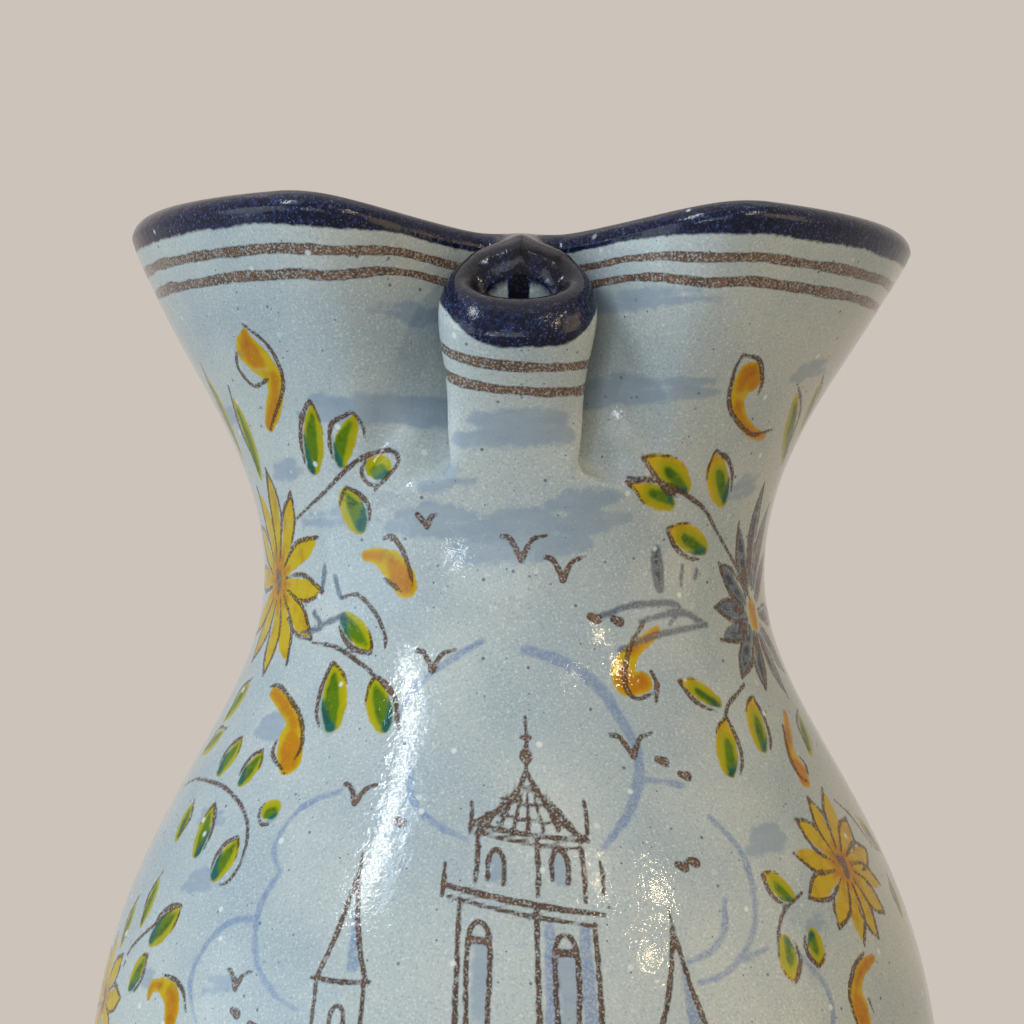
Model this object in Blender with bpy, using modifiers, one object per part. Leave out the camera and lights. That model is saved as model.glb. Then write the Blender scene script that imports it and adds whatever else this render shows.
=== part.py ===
# Glazed earthenware jug with a pinched tube spout and a strap handle.
# Metres, +Z up. The origin is the centre of the flat foot, the spout points to -Y and the handle to +Y.
# The jug is a set of clay sections that a potter lutes together with slip: each section is one object,
# and neighbouring sections keep a thin gap for that slip.

import math

import bmesh
import bpy
import numpy as np
from mathutils import Vector

# Outer shape of the turned body
HEIGHT = 0.250
FOOT_RADIUS = 0.046
FOOT_HEIGHT = 0.009
FOOT_BEVEL = 0.0015
ANKLE_RADIUS = 0.043
BELLY_RADIUS = 0.0702
BELLY_HEIGHT = 0.104
NECK_RADIUS = 0.0415
NECK_HEIGHT = 0.1935
MOUTH_RADIUS = 0.0648
FLARE_SLOPE = 0.30

# Reach of the curve handles that round the outline, along Z
ANKLE_REACH = 0.030
ANKLE_SLOPE = 0.75
BELLY_REACH_DOWN = 0.045
BELLY_REACH_UP = 0.049
NECK_REACH_DOWN = 0.0253
NECK_REACH_UP = 0.0232
MOUTH_REACH = 0.0199

# Walls and luted seats
WALL = 0.0048
FLOOR = 0.013
SLIP_GAP = 0.0003
TONGUE = 0.003
LOWER_SEAM = 0.098
SHOULDER_SEAM = 0.168
PINCH_START = 0.206

# Pinched mouth: the spout is drawn out of the front of the flare and closed behind by a seam
SPOUT_HALF_WIDTH = 0.0103
SPOUT_DEPTH = 0.023
SPOUT_BORE = 0.0057
SPOUT_BORE_DEPTH = 0.0040
SPOUT_FLARE = 0.0012
SPOUT_FLARE_LENGTH = 0.016
SPOUT_DROP = 0.0115
RIM_DIP = 0.004
SEAM_HALF = 0.0034
PINCH_HALFWAY = 0.0097
SPOUT_ANGLE = math.radians(22)
LOBE_ANGLE = math.radians(36)
LOBE_RADIUS = 0.013
LOBE_TURN = math.radians(32)
VALLEY_RADIUS = 0.0022
VALLEY_TURN = math.radians(60)
VALLEY_FACING = math.radians(55)
LIP_SWELL = 0.0005

# Strap handle and the clay pads at its roots
HANDLE_ROOT_HIGH = 0.230
HANDLE_ROOT_LOW = 0.134
HANDLE_BEND_HEIGHT = 0.203
HANDLE_REACH = 0.103
HANDLE_SINK = 0.008
HANDLE_WIDTH = 0.026
HANDLE_THICKNESS = 0.010
HANDLE_LOW_TAPER = 0.85
HANDLE_RISE = 0.010
HANDLE_LEAD = 0.024
PAD_SPREAD = 0.007
PAD_LENGTH = 0.011

# Facets
TURNED_STEPS = 48
SPAN_COLUMNS = 3
BACK_COLUMNS = 22
MOUTH_ROWS = 9
LIP_STEPS = 4
HANDLE_STEPS = 10
STRAP_SIDES = 16

# Finishes
GLAZE_COLOUR = (0.60, 0.66, 0.66, 1.0)
GLAZE_ROUGHNESS = 0.12
CLAY_COLOUR = (0.55, 0.33, 0.20, 1.0)
CLAY_ROUGHNESS = 0.85


def clear_scene():
    for old in list(bpy.data.objects):
        bpy.data.objects.remove(old, do_unlink=True)


def collection(name):
    made = bpy.data.collections.new(name)
    bpy.context.scene.collection.children.link(made)
    return made


def material(name, colour, roughness):
    made = bpy.data.materials.new(name)
    made.use_nodes = True
    shader = made.node_tree.nodes["Principled BSDF"]
    shader.inputs["Base Color"].default_value = colour
    shader.inputs["Roughness"].default_value = roughness
    shader.inputs["Metallic"].default_value = 0.0
    return made


def glaze(node):
    return material(node + "_glaze", GLAZE_COLOUR, GLAZE_ROUGHNESS)


def bezier(a, b, c, d, steps):
    t = np.linspace(0.0, 1.0, steps)[:, None]
    points = np.array([a, b, c, d])
    weights = np.hstack([(1 - t) ** 3, 3 * t * (1 - t) ** 2, 3 * t**2 * (1 - t), t**3])
    return weights @ points


def outline():
    """The jug's outer profile as (radius, height), from the ankle above the foot up to the rim."""
    ankle = (ANKLE_RADIUS, FOOT_HEIGHT)
    ankle_out = (ANKLE_RADIUS + ANKLE_REACH * ANKLE_SLOPE, FOOT_HEIGHT + ANKLE_REACH)
    belly = (BELLY_RADIUS, BELLY_HEIGHT)
    belly_down = (BELLY_RADIUS, BELLY_HEIGHT - BELLY_REACH_DOWN)
    belly_up = (BELLY_RADIUS, BELLY_HEIGHT + BELLY_REACH_UP)
    neck = (NECK_RADIUS, NECK_HEIGHT)
    neck_down = (NECK_RADIUS, NECK_HEIGHT - NECK_REACH_DOWN)
    neck_up = (NECK_RADIUS, NECK_HEIGHT + NECK_REACH_UP)
    rim = (MOUTH_RADIUS, HEIGHT)
    rim_down = (MOUTH_RADIUS - FLARE_SLOPE * MOUTH_REACH, HEIGHT - MOUTH_REACH)
    steps = 80
    low = bezier(ankle, ankle_out, belly_down, belly, steps)
    middle = bezier(belly, belly_up, neck_down, neck, steps)
    high = bezier(neck, neck_up, rim_down, rim, steps)
    return np.vstack([low, middle[1:], high[1:]])


OUTLINE = outline()


def outer_radius(z):
    return float(np.interp(z, OUTLINE[:, 1], OUTLINE[:, 0]))


def inner_radius(z):
    """Inside of the wall, square to the outline's slope."""
    reach = 0.001
    slope = (outer_radius(z + reach) - outer_radius(z - reach)) / (2 * reach)
    return outer_radius(z) - WALL * math.sqrt(1 + slope * slope)


def middle_radius(z):
    return (outer_radius(z) + inner_radius(z)) / 2


def turned(name, profile, closed, target, finish):
    """A Screw of a profile that runs down its outer side."""
    mesh = bpy.data.meshes.new(name)
    points = [(r, 0.0, z) for r, z in profile]
    edges = [(i, i + 1) for i in range(len(points) - 1)]
    if closed:
        edges.append((len(points) - 1, 0))
    mesh.from_pydata(points, edges, [])
    obj = bpy.data.objects.new(name, mesh)
    target.objects.link(obj)
    screw = obj.modifiers.new("turn", "SCREW")
    screw.axis = "Z"
    screw.angle = math.tau
    screw.steps = TURNED_STEPS
    screw.render_steps = TURNED_STEPS
    screw.use_merge_vertices = True
    screw.merge_threshold = 0.00005
    screw.use_smooth_shade = True
    mesh.materials.append(finish)
    return obj


def wall_section(low, high, rows, seat, tongue):
    """Closed profile of a thrown wall between two heights, outer side first.
    seat: the section stands on its neighbour's tongue. tongue: it carries one for the section above."""
    bottom = low + SLIP_GAP / 2
    top = high - SLIP_GAP / 2
    outer = [(outer_radius(z), z) for z in np.linspace(top, bottom, rows)]
    inner_low = bottom + (TONGUE if seat else 0.0)
    inner_high = top + (TONGUE if tongue else 0.0)
    inner = [(inner_radius(z), z) for z in np.linspace(inner_low, inner_high, rows)]
    profile = list(outer)
    if seat:
        step = middle_radius(low) + SLIP_GAP / 2
        profile += [(step, bottom), (step, inner_low)]
    profile += inner
    if tongue:
        step = middle_radius(high) - SLIP_GAP / 2
        profile += [(step, inner_high), (step, top)]
    return profile


def make_foot(target, finish):
    """Turned foot slab: flat underside, a coved edge, and a floor boss that the wall seats around."""
    boss = inner_radius(FLOOR) - SLIP_GAP
    seat = FOOT_HEIGHT - SLIP_GAP / 2
    cove = [(FOOT_RADIUS - (FOOT_RADIUS - ANKLE_RADIUS) * s * s, FOOT_BEVEL + (seat - FOOT_BEVEL) * s)
            for s in np.linspace(1.0, 0.0, 5)]
    profile = [(0.0, FLOOR), (boss, FLOOR), (boss, seat)]
    profile += cove
    profile += [(FOOT_RADIUS - FOOT_BEVEL, 0.0), (0.0, 0.0)]
    return turned("foot", profile, False, target, finish)


def make_lower_body(target, finish):
    bottom = FOOT_HEIGHT + SLIP_GAP / 2
    profile = wall_section(FOOT_HEIGHT, LOWER_SEAM, 10, seat=False, tongue=True)
    bore = inner_radius(FLOOR)
    inner = [(r, z) for r, z in profile[10:] if z > FLOOR + SLIP_GAP]
    return turned("lower_body", profile[:10] + [(bore, bottom), (bore, FLOOR)] + inner, True, target, finish)


def make_upper_body(target, finish):
    profile = wall_section(LOWER_SEAM, SHOULDER_SEAM, 9, seat=True, tongue=True)
    return turned("upper_body", profile, True, target, finish)


def make_neck(target, finish):
    profile = wall_section(SHOULDER_SEAM, PINCH_START, 7, seat=True, tongue=False)
    return turned("neck", profile, True, target, finish)


def smoothstep(t):
    t = min(max(t, 0.0), 1.0)
    return t * t * (3 - 2 * t)


def on_circle(angle, radius):
    """A point at this angle from the spout's direction, -Y."""
    return np.array([radius * math.sin(angle), -radius * math.cos(angle)])


def pinch_share(z):
    """How far the pinch is drawn in: none at its start, half at about PINCH_HALFWAY, all of it at the rim."""
    rise = min(max(z - PINCH_START, 0.0), HEIGHT - PINCH_START)
    left = 1 - rise / (HEIGHT - PINCH_START)
    return rise**2 / (rise**2 + (PINCH_HALFWAY * left) ** 2)


def spout_keys(radius, across, deep):
    """Points on an oval of these half sizes, centred on the spout behind the flare's front line."""
    middle = SPOUT_DEPTH / 2 - radius
    return [np.array([across * math.sin(math.pi * s), middle - deep * math.cos(math.pi * s)])
            for s in SPOUT_STATIONS]


def valley_keys(radius, thick):
    """Hollow between spout and lobe: a small arc whose left side is the wall of the seam."""
    centre = np.array([SEAM_HALF + VALLEY_RADIUS, SPOUT_DEPTH - radius])
    return [centre - on_circle(VALLEY_FACING + turn, VALLEY_RADIUS + thick)
            for turn in (VALLEY_TURN, 0.0, -VALLEY_TURN)]


def lobe_keys(radius, thick):
    """The lobe is an arc tangent to the mouth's circle, and a straight wall runs from it in to the valley."""
    scale = radius / MOUTH_RADIUS
    centre = on_circle(LOBE_ANGLE, MOUTH_RADIUS - LOBE_RADIUS) * scale
    crest = centre + on_circle((LOBE_ANGLE - LOBE_TURN) / 2, LOBE_RADIUS * scale - thick)
    shoulder = centre + on_circle(-LOBE_TURN, LOBE_RADIUS * scale - thick)
    return [(valley_keys(radius, thick)[2] + shoulder) / 2, shoulder, crest]


def outer_keys(radius):
    spout = spout_keys(radius, SPOUT_HALF_WIDTH, SPOUT_DEPTH / 2)
    return spout + valley_keys(radius, 0.0) + lobe_keys(radius, 0.0)


def inner_keys(radius):
    """Inside of the pinched wall. The two key points at the seam cross the mirror plane,
    so that both halves close on it behind the spout's bore."""
    bore = spout_keys(radius, SPOUT_BORE, SPOUT_BORE_DEPTH)
    valley = valley_keys(radius, WALL)
    back = SPOUT_DEPTH / 2 - radius + SPOUT_BORE_DEPTH
    valley[0] = np.array([-SEAM_HALF, back])
    valley[1][0] = -SEAM_HALF
    return bore + valley + lobe_keys(radius, WALL)


# Station of each key line round the half mouth: 0 front of the spout, 1 seam, 2 end of the lobe, 3 back
SPOUT_STATIONS = (0.0, 0.22, 0.47, 0.72)
VALLEY_STATIONS = (0.9, 1.0, 1.1)
LOBE_STATIONS = (1.35, 1.6, 1.8)
KEY_STATIONS = SPOUT_STATIONS + VALLEY_STATIONS + LOBE_STATIONS + (2.0,)


def unpinched_angle(station):
    if station <= 1:
        return SPOUT_ANGLE * station
    return SPOUT_ANGLE + (LOBE_ANGLE - SPOUT_ANGLE) * (station - 1)


def spline(chain):
    """Centripetal Catmull-Rom through all but the chain's end points, SPAN_COLUMNS columns in each span."""
    made = []
    for a, b, c, d in zip(chain, chain[1:], chain[2:], chain[3:]):
        first, second, third = (math.sqrt(np.linalg.norm(q - p)) for p, q in ((a, b), (b, c), (c, d)))
        leave = ((b - a) / first - (c - a) / (first + second) + (c - b) / second) * second
        arrive = ((c - b) / second - (d - b) / (second + third) + (d - c) / third) * second
        for t in np.arange(SPAN_COLUMNS) / SPAN_COLUMNS:
            made.append(b * (2 * t**3 - 3 * t**2 + 1) + leave * (t**3 - 2 * t**2 + t)
                        + c * (3 * t**2 - 2 * t**3) + arrive * (t**3 - t**2))
    return made


def half_section(z, plain_radius, pinched_keys):
    """Right half of the mouth's section at a height, one point for each column station."""
    drawn = pinch_share(z)
    keys = [(1 - drawn) * on_circle(unpinched_angle(s), plain_radius) + drawn * key
            for s, key in zip(KEY_STATIONS, pinched_keys)]
    back = [on_circle(a, plain_radius) for a in np.linspace(LOBE_ANGLE, math.pi, BACK_COLUMNS + 1)]
    mirrored = keys[1] * np.array([-1.0, 1.0])
    return np.array(spline([mirrored] + keys + back[:2]) + back)


def column_stations():
    made = []
    for a, b in zip(KEY_STATIONS, KEY_STATIONS[1:]):
        made += list(np.linspace(a, b, SPAN_COLUMNS, endpoint=False))
    return made + list(np.linspace(2.0, 3.0, BACK_COLUMNS + 1))


COLUMN_STATIONS = column_stations()


def rim_height(station):
    """Top of the lip: level round the back, dipping to the seam and falling along the spout."""
    if station <= 1:
        return HEIGHT - RIM_DIP - SPOUT_DROP * (1 + math.cos(math.pi * station)) / 2
    return HEIGHT - RIM_DIP * (1 - smoothstep(station - 1))


def wall_at(station, z):
    """(outer point, inner point) of the wall on one station line at a height, with the lip's swelling."""
    radius = outer_radius(z)
    outside = half_section(z, radius, outer_keys(radius))
    inside = half_section(z, inner_radius(z), inner_keys(radius))
    outer = np.array([np.interp(station, COLUMN_STATIONS, outside[:, k]) for k in (0, 1)])
    inner = np.array([np.interp(station, COLUMN_STATIONS, inside[:, k]) for k in (0, 1)])
    across = (outer - inner) / np.linalg.norm(outer - inner)
    left = rim_height(station) - z
    swell = LIP_SWELL * smoothstep(1 - left / (2 * WALL))
    flare = SPOUT_FLARE * smoothstep(1 - left / SPOUT_FLARE_LENGTH) * smoothstep((1 - station) / 0.3)
    return outer + across * (swell + flare), inner - across * swell


def column_loop(station):
    """Closed section of the wall on one station line: up the outside, over the lip, down the inside."""
    low = PINCH_START + SLIP_GAP / 2
    lip = WALL / 2 + LIP_SWELL
    high = rim_height(station) - lip
    heights = np.linspace(low, high, MOUTH_ROWS)
    walls = [(wall_at(station, z), z) for z in heights]
    outer = [(*pair[0], z) for pair, z in walls]
    inner = [(*pair[1], z) for pair, z in reversed(walls)]
    middle = (np.array(outer[-1]) + np.array(inner[0])) / 2
    half = np.array(outer[-1]) - middle
    arc = [middle + half * math.cos(a) + np.array([0, 0, lip * math.sin(a)])
           for a in np.linspace(0, math.pi, LIP_STEPS + 1)[1:-1]]
    return [Vector(p) for p in outer] + [Vector(p) for p in arc] + [Vector(p) for p in inner]


def lofted_half(name, stations, cap_first, target, finish):
    """Skins the right half between station lines and mirrors it. Only the seam end is capped:
    the other end lies on the mirror plane, and the seam's rounded nose is trimmed there."""
    work = bmesh.new()
    rings = [[work.verts.new(p) for p in column_loop(s)] for s in stations]
    count = len(rings[0])
    for first, second in zip(rings, rings[1:]):
        for i in range(count):
            j = (i + 1) % count
            work.faces.new((first[i], first[j], second[j], second[i]))
    work.faces.new(rings[0] if cap_first else rings[-1])
    bmesh.ops.recalc_face_normals(work, faces=work.faces)
    mesh = bpy.data.meshes.new(name)
    work.to_mesh(mesh)
    work.free()
    mesh.shade_smooth()
    mesh.materials.append(finish)
    obj = bpy.data.objects.new(name, mesh)
    target.objects.link(obj)
    mirror = obj.modifiers.new("other_half", "MIRROR")
    mirror.use_axis[0] = True
    mirror.use_bisect_axis[0] = True
    mirror.merge_threshold = 0.00005
    mirror.bisect_threshold = 0.00001
    return obj


def seam_station(side):
    """Station of a cut half a slip gap before (-1) or behind (+1) the seam line."""
    step = 0.02
    height = HEIGHT - RIM_DIP - WALL
    there = wall_at(1.0, height)[0]
    beside = wall_at(1.0 + side * step, height)[0]
    return 1.0 + side * step * SLIP_GAP / float(np.linalg.norm(beside - there))


def make_spout(target, finish):
    """The pinched tube, from the front line back to the seam on both sides."""
    stations = [s for s in COLUMN_STATIONS if s < 0.999] + [seam_station(-1)]
    return lofted_half("spout", stations, False, target, finish)


def make_mouth(target, finish):
    """The flared mouth with its two lobes, from the seam round the back."""
    stations = [seam_station(1)] + [s for s in COLUMN_STATIONS if s > 1.001]
    return lofted_half("mouth", stations, True, target, finish)


def strap_curve(name, grow, target):
    """The strap's path as a bezier in the YZ plane, with a flat oval section grown by a clearance."""
    oval = bpy.data.curves.new(name + "_oval", "CURVE")
    oval.dimensions = "2D"
    ring = oval.splines.new("POLY")
    ring.points.add(STRAP_SIDES - 1)
    for i, point in enumerate(ring.points):
        a = math.tau * i / STRAP_SIDES
        across = (HANDLE_WIDTH / 2 + grow) * math.cos(a)
        through = (HANDLE_THICKNESS / 2 + grow) * math.sin(a)
        point.co = (across, through, 0.0, 1.0)
    ring.use_cyclic_u = True
    section = bpy.data.objects.new(name + "_oval", oval)
    target.objects.link(section)
    section.hide_render = True
    path = bpy.data.curves.new(name, "CURVE")
    path.dimensions = "3D"
    path.resolution_u = HANDLE_STEPS
    path.twist_mode = "MINIMUM"
    path.bevel_mode = "OBJECT"
    path.bevel_object = section
    path.use_fill_caps = True
    line = path.splines.new("BEZIER")
    line.bezier_points.add(2)
    high = Vector((0, outer_radius(HANDLE_ROOT_HIGH) - HANDLE_SINK, HANDLE_ROOT_HIGH))
    bend = Vector((0, HANDLE_REACH, HANDLE_BEND_HEIGHT))
    low = Vector((0, outer_radius(HANDLE_ROOT_LOW) - HANDLE_SINK, HANDLE_ROOT_LOW))
    lead = Vector((0, HANDLE_LEAD, HANDLE_RISE))
    down = Vector((0, 0, HANDLE_LEAD))
    fall = Vector((0, HANDLE_LEAD, HANDLE_LEAD / 2))
    for point, place, before, after, taper in zip(
            line.bezier_points, (high, bend, low), (-lead, down, fall), (lead, -down, -fall),
            (1.0, 0.95, HANDLE_LOW_TAPER)):
        point.handle_left_type = point.handle_right_type = "FREE"
        point.co = place
        point.handle_left = place + before
        point.handle_right = place + after
        point.radius = taper
    obj = bpy.data.objects.new(name, path)
    target.objects.link(obj)
    return obj


def as_mesh(curve, name, target, finish):
    """The evaluated curve as a mesh object with welded caps. The curve is removed."""
    graph = bpy.context.evaluated_depsgraph_get()
    mesh = bpy.data.meshes.new_from_object(curve.evaluated_get(graph))
    place = curve.matrix_world.copy()
    bpy.data.objects.remove(curve, do_unlink=True)
    work = bmesh.new()
    work.from_mesh(mesh)
    bmesh.ops.remove_doubles(work, verts=work.verts, dist=0.00002)
    bmesh.ops.recalc_face_normals(work, faces=work.faces)
    work.to_mesh(mesh)
    work.free()
    mesh.name = name
    mesh.materials.clear()
    mesh.materials.append(finish)
    mesh.shade_smooth()
    mesh.set_sharp_from_angle(angle=math.radians(50))
    obj = bpy.data.objects.new(name, mesh)
    obj.matrix_world = place
    target.objects.link(obj)
    return obj


def hide_cutter(obj):
    obj.hide_render = True
    obj.display_type = "WIRE"
    return obj


def cut(obj, cutter):
    boolean = obj.modifiers.new("cut_" + cutter.name, "BOOLEAN")
    boolean.operation = "DIFFERENCE"
    boolean.solver = "EXACT"
    boolean.object = cutter


def vessel_cutter(target):
    """The whole turned outside, one slip gap larger, which trims what seats on it."""
    heights = np.linspace(HEIGHT, FOOT_HEIGHT, 70)
    profile = [(0.0, HEIGHT)] + [(outer_radius(z) + SLIP_GAP, z) for z in heights] + [(0.0, FOOT_HEIGHT)]
    return hide_cutter(turned("vessel_cutter", profile, False, target, glaze("vessel_cutter")))


def strap_cutter(target):
    """The strap one slip gap larger, which opens the pads for it."""
    grown = strap_curve("strap_cutter_path", SLIP_GAP, target)
    return hide_cutter(as_mesh(grown, "strap_cutter", target, glaze("strap_cutter")))


def make_handle(target, cutters, vessel, finish):
    handle = as_mesh(strap_curve("strap_path", 0.0, cutters), "handle", target, finish)
    cut(handle, vessel)
    return handle


def make_pad(name, height, target, vessel, strap, finish):
    """A wad of clay thumbed round the strap where it meets the wall."""
    mesh = bpy.data.meshes.new(name)
    work = bmesh.new()
    bmesh.ops.create_uvsphere(work, u_segments=20, v_segments=10, radius=1.0)
    across = HANDLE_WIDTH / 2 + PAD_SPREAD
    tall = HANDLE_THICKNESS / 2 + PAD_SPREAD
    bmesh.ops.scale(work, vec=(across, PAD_LENGTH, tall), verts=work.verts)
    work.to_mesh(mesh)
    work.free()
    mesh.shade_smooth()
    mesh.materials.append(finish)
    pad = bpy.data.objects.new(name, mesh)
    pad.location = (0, outer_radius(height) - PAD_LENGTH / 4, height)
    target.objects.link(pad)
    cut(pad, vessel)
    cut(pad, strap)
    return pad


def main():
    clear_scene()
    jug = collection("talavera_jug")
    cutters = collection("cutters")
    make_foot(jug, material("foot_clay", CLAY_COLOUR, CLAY_ROUGHNESS))
    make_lower_body(jug, glaze("lower_body"))
    make_upper_body(jug, glaze("upper_body"))
    make_neck(jug, glaze("neck"))
    make_mouth(jug, glaze("mouth"))
    make_spout(jug, glaze("spout"))
    vessel = vessel_cutter(cutters)
    strap = strap_cutter(cutters)
    make_handle(jug, cutters, vessel, glaze("handle"))
    make_pad("handle_upper_pad", HANDLE_ROOT_HIGH, jug, vessel, strap, glaze("handle_upper_pad"))
    make_pad("handle_lower_pad", HANDLE_ROOT_LOW, jug, vessel, strap, glaze("handle_lower_pad"))


main()
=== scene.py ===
import math

import bpy
import numpy as np
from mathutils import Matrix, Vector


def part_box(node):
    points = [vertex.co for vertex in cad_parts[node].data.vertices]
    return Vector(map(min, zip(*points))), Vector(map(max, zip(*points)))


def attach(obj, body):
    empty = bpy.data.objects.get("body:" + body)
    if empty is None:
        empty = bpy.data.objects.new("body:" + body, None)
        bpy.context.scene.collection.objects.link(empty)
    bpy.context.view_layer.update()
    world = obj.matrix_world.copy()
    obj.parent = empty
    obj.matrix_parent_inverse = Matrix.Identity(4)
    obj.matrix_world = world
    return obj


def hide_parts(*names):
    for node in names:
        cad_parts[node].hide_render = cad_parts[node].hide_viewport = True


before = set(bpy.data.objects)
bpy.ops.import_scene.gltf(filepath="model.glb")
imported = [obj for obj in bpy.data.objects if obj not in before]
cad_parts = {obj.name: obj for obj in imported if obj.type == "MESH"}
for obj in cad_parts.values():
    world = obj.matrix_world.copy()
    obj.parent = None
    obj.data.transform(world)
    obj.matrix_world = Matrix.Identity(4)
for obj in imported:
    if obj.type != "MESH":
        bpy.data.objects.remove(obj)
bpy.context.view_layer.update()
print("frame loaded with", len(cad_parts), "nodes")

mm = 0.001
unpainted, offRim = 6.0, 60.0  # distances in mm past the reach of a stroke and of the rim's bands

# the thrown body, in metres, on the same driving sizes as the frame
body = dict(
    height=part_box("mouth")[1].z,
    ankle=(0.043, 0.009), ankleLean=(0.0225, 0.030),  # radius and height, then the pull of the curve
    belly=(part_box("lower_body")[1].x, 0.104), bellyDown=0.045, bellyUp=0.049,
    neck=(0.0415, 0.1935), neckDown=0.0253, neckUp=0.0232,
    mouthRadius=0.0648, flareSlope=0.30, flareReach=0.0199,
    wall=0.0048, floor=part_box("foot")[1].z,
)
seams = dict(lower=0.098, shoulder=0.168, pinch=0.206)  # heights where the clay sections meet
pinch = dict(
    halfWidth=0.0103, depth=0.023, bore=0.0057, boreDepth=0.0040,
    flare=0.0011, flareLength=0.014, drop=0.0115, dip=0.004, seamHalf=0.0034, hollow=0.0055,
    halfway=0.0097, tubeHalfway=0.0042,  # rise over which the lobes and the tube take shape
    spoutAngle=math.radians(22), lobeAngle=math.radians(36),
    lobeRadius=0.013, lobeTurn=math.radians(32),
    valleyRadius=0.0022, valleyTurn=math.radians(60), valleyFacing=math.radians(55),
    swell=0.0005, hood=0.66,  # hood: under 1, the lip falls faster from its peak at the back
    lipRise=0.0060, lipShoulder=0.5,  # the spout's lip is a fat doughnut, squarer towards its hole
    # where on the way to the seam the spout's own shape ends, and over how much of that way it fades
    flareFade=(1.0, 0.3), lipFade=(0.95, 0.45), shoulderFade=(0.97, 0.2),
)
warp = dict(lean=0.0013, tilt=-0.022)  # the hand-thrown mouth sits a little right and low on the right
mesh = dict(spoutColumns=56, lobeColumns=60, backColumns=330, lowRow=0.8 * mm, row=0.5 * mm,
            mouthRows=92, lipRows=24, innerMouthRows=26, innerRow=3.0 * mm)


def smooth(t):
    t = np.clip(t, 0, 1)
    return t * t * (3 - 2 * t)


def onSpout(s, fade):  # 1 on the spout, falling to 0 at the seam
    end, over = pinch[fade]
    return smooth((end - s) / over)


def bezier(a, b, c, d, steps=1500):
    t = np.linspace(0, 1, steps)[:, None]
    a, b, c, d = (np.array(p) for p in (a, b, c, d))
    return a * (1 - t) ** 3 + b * 3 * t * (1 - t) ** 2 + c * 3 * t * t * (1 - t) + d * t ** 3


def makeOutline():
    ankle, belly, neck = (np.array(body[k]) for k in ("ankle", "belly", "neck"))
    rim = np.array([body["mouthRadius"], body["height"]])
    reach = body["flareReach"]
    low = bezier(ankle, ankle + body["ankleLean"], belly - (0, body["bellyDown"]), belly)
    mid = bezier(belly, belly + (0, body["bellyUp"]), neck - (0, body["neckDown"]), neck)
    high = bezier(neck, neck + (0, body["neckUp"]), rim - (body["flareSlope"] * reach, reach), rim)
    return np.vstack([low, mid[1:], high[1:]])


outline = makeOutline()


def radiusAt(z):
    return np.interp(z, outline[:, 1], outline[:, 0])


def slopeAt(z):
    return (radiusAt(z + 0.5 * mm) - radiusAt(z - 0.5 * mm)) / mm


def innerAt(z):
    return radiusAt(z) - body["wall"] * np.sqrt(1 + slopeAt(z) ** 2)


def onCircle(angle, radius):  # angle from the spout, which points to -Y
    return np.stack(np.broadcast_arrays(radius * np.sin(angle), -radius * np.cos(angle)), -1)


# stations round the half mouth: 0 spout front, 1 seam, 2 end of the lobe, 3 back
keyStations = np.array([0, 0.22, 0.47, 0.72, 0.9, 1.0, 1.1, 1.35, 1.6, 1.8, 2.0])


def stationAngle(s):
    a, b = pinch["spoutAngle"], pinch["lobeAngle"]
    return np.interp(s, [0, 1, 2, 3], [0, a, b, math.pi])


def angleStation(angle):
    a, b = pinch["spoutAngle"], pinch["lobeAngle"]
    return np.interp(np.abs(angle), [0, a, b, math.pi], [0, 1, 2, 3])


def pinchShare(z, halfway):
    span = body["height"] - seams["pinch"]
    rise = np.clip(z - seams["pinch"], 0, span)
    return rise ** 2 / (rise ** 2 + (halfway * (1 - rise / span)) ** 2 + 1e-12)


def seamDepth(z):  # the seam stands nearly straight above the neck while the mouth flares in front of it
    rise = np.clip((z - seams["pinch"]) / (body["height"] - seams["pinch"]), 0, 1)
    return radiusAt(z) - body["mouthRadius"] + pinch["depth"] + pinch["hollow"] * np.sin(np.pi * rise)


def sectionKeys(z, inside):
    radius = radiusAt(z)
    plain = innerAt(z) if inside else radius
    thick = body["wall"] if inside else 0.0
    depth = seamDepth(z)
    if inside:
        wide, deep = pinch["bore"], pinch["boreDepth"] * depth / pinch["depth"]
    else:
        wide, deep = pinch["halfWidth"], depth / 2
    middle = depth / 2 - radius
    keys = [np.stack([wide * np.sin(np.pi * s) + 0 * z, middle - deep * np.cos(np.pi * s)], -1)
            for s in keyStations[:4]]
    hollow = np.stack([pinch["seamHalf"] + pinch["valleyRadius"] + 0 * z, depth - radius], -1)
    valley = [hollow - onCircle(pinch["valleyFacing"] + turn, pinch["valleyRadius"] + thick)
              for turn in (pinch["valleyTurn"], 0, -pinch["valleyTurn"])]
    if inside:  # both halves close on the mirror plane behind the bore
        valley[0] = np.stack([0 * z - pinch["seamHalf"], middle + deep], -1)
        valley[1][..., 0] = -pinch["seamHalf"]
    scale = radius / body["mouthRadius"]
    centre = onCircle(pinch["lobeAngle"], (body["mouthRadius"] - pinch["lobeRadius"]) * scale)
    crest = centre + onCircle((pinch["lobeAngle"] - pinch["lobeTurn"]) / 2,
                              pinch["lobeRadius"] * scale - thick)
    shoulder = centre + onCircle(-pinch["lobeTurn"], pinch["lobeRadius"] * scale - thick)
    keys += valley + [(valley[2] + shoulder) / 2, shoulder, crest]
    lobes, tube = (pinchShare(z, pinch[k])[:, None] for k in ("halfway", "tubeHalfway"))
    drawn = [tube if s < (0.8 if inside else 1.2) else lobes for s in keyStations]
    keys = [onCircle(stationAngle(s), plain) * (1 - d) + key * d
            for s, key, d in zip(keyStations, keys, drawn)]
    step = (math.pi - pinch["lobeAngle"]) / 22
    keys += [onCircle(pinch["lobeAngle"], plain), onCircle(pinch["lobeAngle"] + step, plain)]
    return np.stack([keys[1] * (-1, 1)] + keys, 1), plain


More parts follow.
